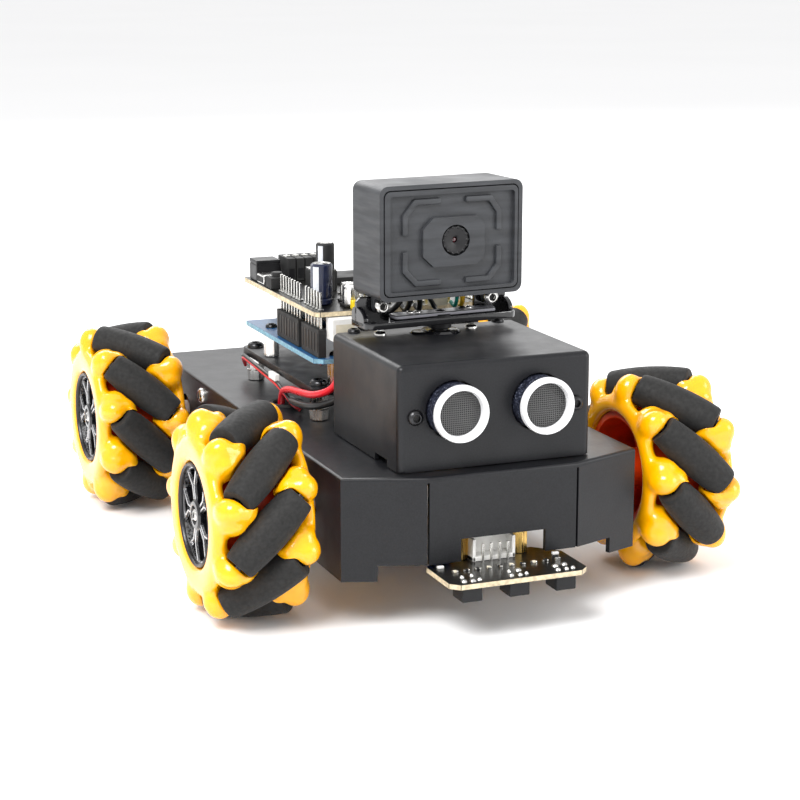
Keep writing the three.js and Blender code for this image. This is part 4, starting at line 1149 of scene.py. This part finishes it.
def expansion():
    board = Piece("expansion_circuit")
    outline = [(BOARD_LEFT, BOARD_REAR + 1), (BOARD_LEFT, BOARD_FRONT + 1.5), (BOARD_LEFT + 1.5, BOARD_FRONT),
               (BOARD_RIGHT, BOARD_FRONT), (BOARD_RIGHT, BOARD_REAR + 1)]
    board.plate(outline, UPPER_BOARD, UPPER_TOP, BLACK_MASK, 0.12, rim=BOARD_EDGE)
    for x in (BOARD_LEFT + 2.55, BOARD_RIGHT - 2.55):
        for start, count in ((BOARD_FRONT + 2.7, 6), (BOARD_FRONT + 20.8, 8)):
            header_block(board, x, start, count, LOWER_TOP + 0.1, LOWER_TOP + 8.6)
            pin_row(board, x, start, count, 2.54, LOWER_TOP + 8, UPPER_BOARD, TIN)
            pin_row(board, x, start, count, 2.54, UPPER_TOP, UPPER_TOP + 0.5, SOLDER, 1.5)
        pin_row(board, x, BOARD_FRONT + 2.7, 6, 2.54, UPPER_TOP, UPPER_TOP + 5.4, TIN)
        pin_row(board, x, BOARD_FRONT + 20.8, 8, 2.54, UPPER_TOP, UPPER_TOP + 5.4, TIN)
    board.done("chassis", "black_board", "expansion_board")

    tall = Piece("expansion_capacitors")
    cans = ((-24.7, -17.5, 3.3, 90.5, NAVY_FILM), (-20.6, -9.5, 2.8, 95.4, MATT_BLACK))
    for x, y, radius, top, sleeve in cans:
        height = top - UPPER_TOP - 0.2
        tall.turned([
            (0, 0), (radius - 0.5, 0), (radius, 0.4), (radius, 1.6), (radius - 0.28, 2.0), (radius, 2.5),
            (radius, height - 0.5), (radius - 0.5, height),
        ], (x, y, UPPER_TOP + 0.1), (0, 0, 1), sleeve, 40)
        tall.turned([(radius - 0.5, height), (radius - 0.7, height - 0.25), (0, height - 0.25)],
                    (x, y, UPPER_TOP + 0.1), (0, 0, 1), STEEL, 40)
        stripe = bmesh.new()
        arc = [math.radians(a) for a in range(200, 245, 9)]
        rows = [[stripe.verts.new((x + (radius + 0.03) * math.cos(a), y + (radius + 0.03) * math.sin(a), z))
                 for a in arc] for z in (UPPER_TOP + 3, top - 0.9)]
        inner = [[stripe.verts.new((x + (radius - 0.3) * math.cos(a), y + (radius - 0.3) * math.sin(a), z))
                  for a in arc] for z in (UPPER_TOP + 3, top - 0.9)]
        for near, far in ((rows[0], rows[1]), (inner[1], inner[0]), (inner[0], rows[0]), (rows[1], inner[1])):
            for k in range(len(arc) - 1):
                stripe.faces.new((near[k], near[k + 1], far[k + 1], far[k]))
        for k in (0, len(arc) - 1):
            stripe.faces.new((rows[0][k], rows[1][k], inner[1][k], inner[0][k]))
        tall.take(stripe, GREY_FILM)
    for x, y in ((-17.6, -23.5), (-15.8, -16.8), (4, -14), (10.5, -14)):
        tall.turned([(0, 0), (2.3, 0), (2.5, 0.3), (2.5, 5.4), (2.1, 5.9), (0, 5.7)],
                    (x, y, UPPER_TOP), (0, 0, 1), STEEL, 28)
        tall.block((x - 2.7, y - 2.7, UPPER_TOP), (x + 2.7, y + 2.7, UPPER_TOP + 0.9), MATT_BLACK, 0.3)
    tall.done("chassis", "black_board")

    ports = Piece("expansion_connectors")
    rear = BOARD_REAR
    ports.block((BOARD_LEFT + 0.8, rear - 9.5, UPPER_TOP), (BOARD_LEFT + 9, rear - 2, UPPER_TOP + 5.4),
                SATIN_BLACK, 0.4)
    ports.block((BOARD_LEFT + 0.8, rear - 9.5, UPPER_TOP + 5.3), (BOARD_LEFT + 9, rear - 2, UPPER_TOP + 6.8),
                SATIN_BLACK, 0.4)
    ports.block((BOARD_LEFT + 1.6, rear - 9.7, UPPER_TOP + 1.2),
                (BOARD_LEFT + 8.2, rear - 9.3, UPPER_TOP + 5.6), SATIN_BLACK, 0.1)
    for tooth in range(5):
        x = BOARD_LEFT + 10.2 + tooth * 3.0
        ports.block((x, rear - 13, UPPER_TOP), (x + 2.7, rear - 3, UPPER_TOP + 7.4), MATT_BLACK, 0.3)
        ports.turned([(0, 0), (1.15, 0), (1.15, 0.5), (0, 0.5)], (x + 1.35, rear - 8, UPPER_TOP + 7.2),
                     (0, 0, 1), TIN, 20)
        ports.block((x + 0.4, rear - 13.1, UPPER_TOP + 1), (x + 2.3, rear - 12.9, UPPER_TOP + 4.2),
                    SATIN_BLACK, 0.05)
    ports.block((BOARD_LEFT + 0.4, 12.5, UPPER_TOP), (BOARD_LEFT + 6.4, 18.5, UPPER_TOP + 3.6),
                MATT_BLACK, 0.3)
    ports.rod((BOARD_LEFT + 3.4, 15.5, UPPER_TOP + 3.5), (BOARD_LEFT + 3.4, 15.5, UPPER_TOP + 5), 1.7,
              MATT_BLACK, 24)
    ports.block((BOARD_LEFT + 0.6, 20.5, UPPER_TOP), (BOARD_LEFT + 7.6, 27.5, UPPER_TOP + 3.2), STEEL, 0.5)
    ports.block((BOARD_LEFT + 0.4, 21.3, UPPER_TOP + 0.7), (BOARD_LEFT + 0.9, 26.7, UPPER_TOP + 2.5),
                MATT_BLACK, 0.1)
    ports.block((-20, 3, UPPER_TOP), (-12, 11, UPPER_TOP + 6.4), MATT_BLACK, 0.4)
    ports.block((-19.8, 3.2, UPPER_TOP + 6.3), (-12.2, 10.8, UPPER_TOP + 6.9), STEEL, 0.3)
    ports.block((BOARD_LEFT + 12, -29.4, UPPER_TOP), (BOARD_LEFT + 20.4, -26.9, UPPER_TOP + 2.5),
                YELLOW_PIN, 0.2)
    for pin in range(3):
        x = BOARD_LEFT + 13.4 + pin * 2.8
        ports.block((x - 0.32, -28.5, UPPER_TOP + 2.4), (x + 0.32, -27.9, UPPER_TOP + 8.2), TIN, 0.12)
    for row in range(4):
        y = -22 + row * 5.6
        look = (YELLOW_PIN, MATT_BLACK)[row % 2]
        ports.block((8, y, UPPER_TOP), (15.6, y + 2.4, UPPER_TOP + 2.5), look, 0.2)
        for pin in range(3):
            x = 9.3 + pin * 2.54
            ports.block((x - 0.32, y + 0.9, UPPER_TOP + 2.4), (x + 0.32, y + 1.5, UPPER_TOP + 8), TIN, 0.12)
    ports.block((-10, 14, UPPER_TOP), (2, 26, UPPER_TOP + 2.2), MATT_BLACK, 0.3)
    for pin in range(7):
        for x in (-10.9, 2.0):
            ports.block((x, 14.9 + pin * 1.6, UPPER_TOP), (x + 0.9, 15.4 + pin * 1.6, UPPER_TOP + 1.1),
                        TIN, 0.08)
    small_parts(ports, (-15, 7), (-26, 1), UPPER_TOP, 48, 3)
    small_parts(ports, (5, 20), (3, 34), UPPER_TOP, 34, 5)
    ports.done("chassis", "black_board")

    socket = Piece("power_socket")
    x0, x1 = BOARD_LEFT + 4.1, BOARD_LEFT + 12.1
    y0 = BOARD_FRONT - 3.3
    socket.block((x0, y0, 69.3), (x1, BOARD_FRONT + 2.6, 76), WHITE, 0.35)
    socket.block((x0 + 1, y0 - 0.02, 70.6), (x1 - 1, y0 + 0.4, 74.4), CREAM, 0.15)
    socket.block((x0 + 1.2, y0 + 0.4, 69.2), (x0 + 3.2, y0 + 2.4, 69.8), MATT_BLACK, 0.1)
    socket.block((x0 + 4.6, y0 + 0.4, 69.2), (x0 + 6.6, y0 + 2.4, 69.8), MATT_BLACK, 0.1)
    socket.done("chassis", "black_board")


# ---- line sensor ----
def line_sensor():
    board = Piece("line_sensor_circuit")
    middle, w = (LINE_LOW.x + LINE_HIGH.x) / 2, (LINE_HIGH.x - LINE_LOW.x) / 2
    front, rear = LINE_LOW.y, LINE_HIGH.y
    low, high = 15.6, 17.2
    outline = [(-w, rear - 6.5), (-w, front + 2.5), (-w + 2.5, front), (w - 2.5, front), (w, front + 2.5),
               (w, rear - 6.5), (w - 6.5, rear), (-w + 6.5, rear)]
    board.plate([(x + middle, y) for x, y in outline], low, high, BLACK_MASK, 0.12, rim=BOARD_EDGE)
    dice = np.random.default_rng(5)
    for x in (middle - 14, middle, middle + 14):
        board.block((x - 3, front + 1.5, low - 4.2), (x + 3, front + 8.5, low), SATIN_BLACK, 0.35)
        for offset in (-1.5, 1.5):
            board.turned([(0, 0), (1.2, 0), (1.2, 0.2), (0.8, 0.5), (0, 0.6)],
                         (x + offset, front + 5, low - 4.1), (0, 0, -1), GLOSS_BLACK, 20)
        for offset, row in ((-2.2, 2.4), (0.3, 2.2), (2.4, 2.6), (-1.4, 5.8), (1.6, 6.2)):
            r = 0.6 + 0.4 * dice.random()
            board.turned([(0, 0), (r, 0), (r * 0.8, 0.35), (r * 0.35, 0.65), (0, 0.7)],
                         (x + offset, front + row, high), (0, 0, 1), SOLDER, 14)
    for x in (middle - 9, middle + 9):
        board.rod((x, rear - 2.4, high), (x, rear - 2.4, DECK_LOW.z + 27.6), 2.55, BRASS, 6, 0.2)
        board.screw((x, rear - 2.4, low), (0, 0, -1), 2.3, STEEL, dark=MATT_BLACK)
    left, right = middle - 7, middle + 6
    board.block((left, rear - 7.2, high), (right, rear - 1.4, high + 1.4), WHITE, 0.25)
    board.block((left, rear - 3.0, high + 1.2), (right, rear - 1.4, high + 6.4), WHITE, 0.3)
    for x in (left, right - 1):
        board.block((x, rear - 7.2, high), (x + 1, rear - 1.4, high + 6.4), WHITE, 0.25)
    for pin in range(4):
        x = middle - 4.3 + pin * 2.54
        board.block((x - 0.35, rear - 8.2, high), (x + 0.35, rear - 7.5, high + 5.2), TIN, 0.12)
    small_parts(board, (middle - 17, middle + 17), (front + 9.2, front + 12.4), high, 11, 11)
    for x in (middle - 17.5, middle + 17.5):
        board.block((x - 0.9, rear - 9.5, high), (x + 0.9, rear - 8.1, high + 0.7), WHITE, 0.1)
    for wire in range(4):
        x = middle - 4.3 + wire * 2.54
        board.tube([
            (x, rear - 1.6, high + 3.6), (x, rear + 1.2, high + 4.4), (x * 0.8, rear + 3.2, high + 8),
            (x * 0.6, rear + 3.6, high + 14), (x * 0.5, rear + 6, high + 20), (x * 0.5, rear + 14, high + 22),
        ], 0.5, (RED_WIRE, BLACK_WIRE, GOLD_WIRE, WHITE)[wire], 8, 5)
    board.done("chassis", "black_board", "line_sensor")


# ---- under the deck: battery pack and gear motors ----
def battery():
    pack = Piece("battery_cells")
    w, low, high = BATTERY_HIGH.x, BATTERY_LOW.z, BATTERY_HIGH.z
    half = (BATTERY_HIGH.y - BATTERY_LOW.y) / 2
    radius = (high - low) / 2 - 0.5
    centres = (-w + radius + 0.6, w - radius - 0.6)
    middle = (low + high) / 2
    for x in centres:
        pack.turned([
            (0, 0), (radius - 2.4, 0), (radius - 1.0, 0.35), (radius - 0.2, 1.4), (radius, 2.4),
            (radius, 2 * half - 2.4), (radius - 0.2, 2 * half - 1.4), (radius - 1.0, 2 * half - 0.35),
            (radius - 2.4, 2 * half), (0, 2 * half),
        ], (x, -half, middle), (0, 1, 0), BLUE_CELL, 48)
        for end in (-1, 1):
            pack.turned([(0, 0), (3.2, 0), (3.4, -0.4), (0, -0.4)], (x, end * (half - 0.02), middle),
                        (0, end, 0), STEEL, 32)
    strap = rounded(-w, w, low, high, 9, 8)
    for y in (-half * 0.5, half * 0.5):
        pack.plate(strap, y - 4, y + 4, MATT_BLACK, 0.3, "Y")
    pack.done("chassis", "battery_wrap", "battery_pack")


def gear_motor(wheel):
    """A flat gearbox in two moulded halves, its motor can, the strap round it and its screws."""
    side = 1 if span(f"gear_motor_{wheel}")[1].x > 0 else -1
    centre = Vector(joints[f"{wheel}_wheel_spin"]["pos_m"]) / MM - Vector((0, AXLE_MID_Y, 0))
    end = 1 if centre.y > 0 else -1
    box_ends = sorted((centre.y + end * 11, centre.y - end * 26))
    outer_face, gearbox_width = 43.2, 18.8
    x0, x1 = sorted((side * outer_face, side * (outer_face - gearbox_width)))
    seam = (x0 + x1) / 2
    z0, z1 = centre.z - 11, centre.z + 11
    motor = Piece(f"motor_{wheel}")
    shape = rounded(box_ends[0], box_ends[1], z0, z1, 2.2, 4)
    motor.plate(shape, x0, seam - 0.15, MOTOR_SHELL, 0.6, "X")
    motor.plate(shape, seam + 0.15, x1, MOTOR_SHELL, 0.6, "X")
    inset = rounded(box_ends[0] + 0.5, box_ends[1] - 0.5, z0 + 0.5, z1 - 0.5, 2, 4)
    motor.plate(inset, seam - 0.3, seam + 0.3, MATT_BLACK, 0.05, "X")
    inward = Vector((-side, 0, 0))
    face = side * (outer_face - gearbox_width)
    for y in (centre.y + end * 7.5, centre.y - end * 22):
        for z in (centre.z - 8.4, centre.z + 8.4):
            motor.screw((face, y, z), inward, 1.7, STEEL, dark=MATT_BLACK)
    motor.turned([(0, 0), (4.4, 0), (4.2, 1.4), (2.6, 1.6), (2.6, 4.4), (0, 4.6)],
                 (face, centre.y, centre.z), inward, MOTOR_SHELL, 32)
    can_start = centre.y - end * 26
    can_end = can_start - end * 26
    along = Vector((0, -end, 0))
    middle = Vector((seam, can_start, centre.z))
    radius = 9.2
    motor.turned([
        (0, 0), (radius, 0), (radius, 18.6), (radius - 0.5, 19.2), (radius - 0.5, 20),
    ], middle, along, STEEL, 40)
    motor.turned([
        (radius - 0.5, 19.6), (radius - 0.1, 20), (radius - 0.1, 24.2), (radius - 1, 25),
        (3.2, 25.1), (2.8, 26), (0, 26),
    ], middle, along, WHITE, 40)
    for tab in (-1, 1):
        at = Vector((seam + tab * 5, can_end, centre.z))
        reach = Vector((0.25, 0, 1.2))
        motor.block(at - reach - along * 0.1, at + reach - along * 2.5, COPPER, 0.05)
    for z in (z0, z1 - 0.9):
        motor.block((x0 + 3, can_start + end * 1.5, z), (x1 - 3, can_end + end * 6, z + 0.9), CREAM, 0.2)
    motor.done("chassis", "motor_plastic", f"gear_motor_{wheel}")


# ---- power leads and the camera's wires ----
RED_LEAD = (
    (-31.2, 2.6, 40.6), (-31.4, 2, 44), (-32.2, -2.5, 48.4), (-32.5, -10, 50.6), (-32.6, -20, 51.8),
    (-31.4, -29.5, 53), (-28, -34.4, 55.5), (-25.2, -34.6, 60), (-24.4, -33, 65), (-24.6, -31.6, 69),
)
BLACK_LEAD = (
    (-28.2, 1, 40.6), (-28.4, 0.6, 42.8), (-30, -4, 45.8), (-32.4, -12, 47.4), (-32.6, -21, 48.2),
    (-31.2, -30, 49.6), (-26.4, -35, 52.4), (-22.2, -35, 58), (-21.2, -33, 64), (-21.4, -31.6, 69),
)


def power_leads():
    for colour, route, look in (("red", RED_LEAD, RED_WIRE), ("black", BLACK_LEAD, BLACK_WIRE)):
        lead = Piece(f"{colour}_power_lead")
        lead.tube(route, 1.1, look, 16, 8)
        lead.done("chassis", f"{colour}_wire", f"power_lead_{colour}")
    spare = Piece("switch_leads")
    for look, rise in ((BLACK_WIRE, 0.9), (RED_WIRE, 0)):
        spare.tube([
            (-29, 46, 47 + rise), (-31.8, 39, 51 + rise), (-32.2, 27, 50.9 + rise * 0.8),
            (-32.2, 14, 50 + rise), (-32.3, 4, 49.4 + rise), (-32.4, -4, 48.2 + rise * 0.4),
            (-31.2, -9, 45.4), (-29.4, -11, 44),
        ], 0.6, look, 10, 6)
    spare.block((-33.1, 3, 50.4), (-31.4, 9.5, 52.6), WHITE, 0.3)
    spare.done("chassis", "black_wire")
    ring = Piece("wire_grommet")
    ring.ring([(4.0, -0.9), (4.7, -0.9), (4.7, 0.1), (5.6, 0.1), (5.5, 0.8), (4.3, 0.8), (4.0, 0.4)],
              (-29.7, 2, DECK_TOP), (0, 0, 1), MATT_BLACK, 40)
    ring.done("chassis", "dark_plastic")


def camera_wires():
    """The camera's leads, down from its underside and away behind the bracket."""
    piece = Piece("camera_leads")
    wires = (
        (-8, -3.5, BLACK_WIRE, 0.8), (-5.6, -0.6, BLACK_WIRE, 0.8), (-3, 1.2, BLACK_WIRE, 0.8),
        (-0.6, 4.2, BLACK_WIRE, 0.7), (9.6, 0.5, TEAL_WIRE, 0.6), (11.3, 1.0, GOLD_WIRE, 0.8),
    )
    for x, drift, look, radius in wires:
        piece.tube([
            (x, -42.6, CAMERA_BOTTOM + 0.6), (x + drift * 0.2, -42.4, 82.8), (x + drift * 0.6, -41.6, 80.4),
            (x + drift, -40, 78.8), (x + drift, -37.6, 79.6),
        ], radius, look, 10, 5)
    piece.block((2.4, -39.6, 79), (8.2, -37.2, 82.4), CREAM, 0.3)
    piece.done("camera_head", "black_wire")


mounting()
controller()
expansion()
line_sensor()
battery()
for motor_name in WHEELS:
    gear_motor(motor_name)
power_leads()
camera_wires()


# ---- floor and lights ----
def stage():
    mesh = bpy.data.meshes.new("floor")
    size = 30
    corners = [(-size, -size, 0), (size, -size, 0), (size, size, 0), (-size, size, 0)]
    mesh.from_pydata(corners, [], [(0, 1, 2, 3)])
    floor = bpy.data.objects.new("floor", mesh)
    floor.location.z = -0.0002
    bpy.context.scene.collection.objects.link(floor)
    look = Look("floor", 0.9)
    look.colour(look.noise(400.0), [(0.3, (0.90, 0.90, 0.905)), (0.7, (0.915, 0.915, 0.92))])
    mesh.materials.append(look.material)
    world = bpy.data.worlds.new("studio")
    world.use_nodes = True
    background = world.node_tree.nodes["Background"]
    background.inputs["Color"].default_value = (1.0, 1.0, 1.0, 1)
    background.inputs["Strength"].default_value = 1.0
    bpy.context.scene.world = world
    bpy.context.scene.view_settings.view_transform = "Standard"


def area_light(name, place, target, size, power, colour=(1, 1, 1)):
    data = bpy.data.lights.new(name, "AREA")
    data.shape = "RECTANGLE"
    data.size, data.size_y = size
    data.energy = power
    data.color = colour
    light = bpy.data.objects.new(name, data)
    light.location = place
    light.rotation_euler = (Vector(target) - Vector(place)).to_track_quat("-Z", "Y").to_euler()
    bpy.context.scene.collection.objects.link(light)


stage()
area_light("key", (-0.55, -0.45, 0.85), (0, 0, 0.04), (0.5, 0.5), 12)
area_light("fill", (0.9, -0.75, 0.4), (0, 0, 0.05), (0.6, 0.6), 5)
area_light("back", (0.1, 0.95, 0.75), (0, 0.02, 0.05), (1.1, 0.5), 8)
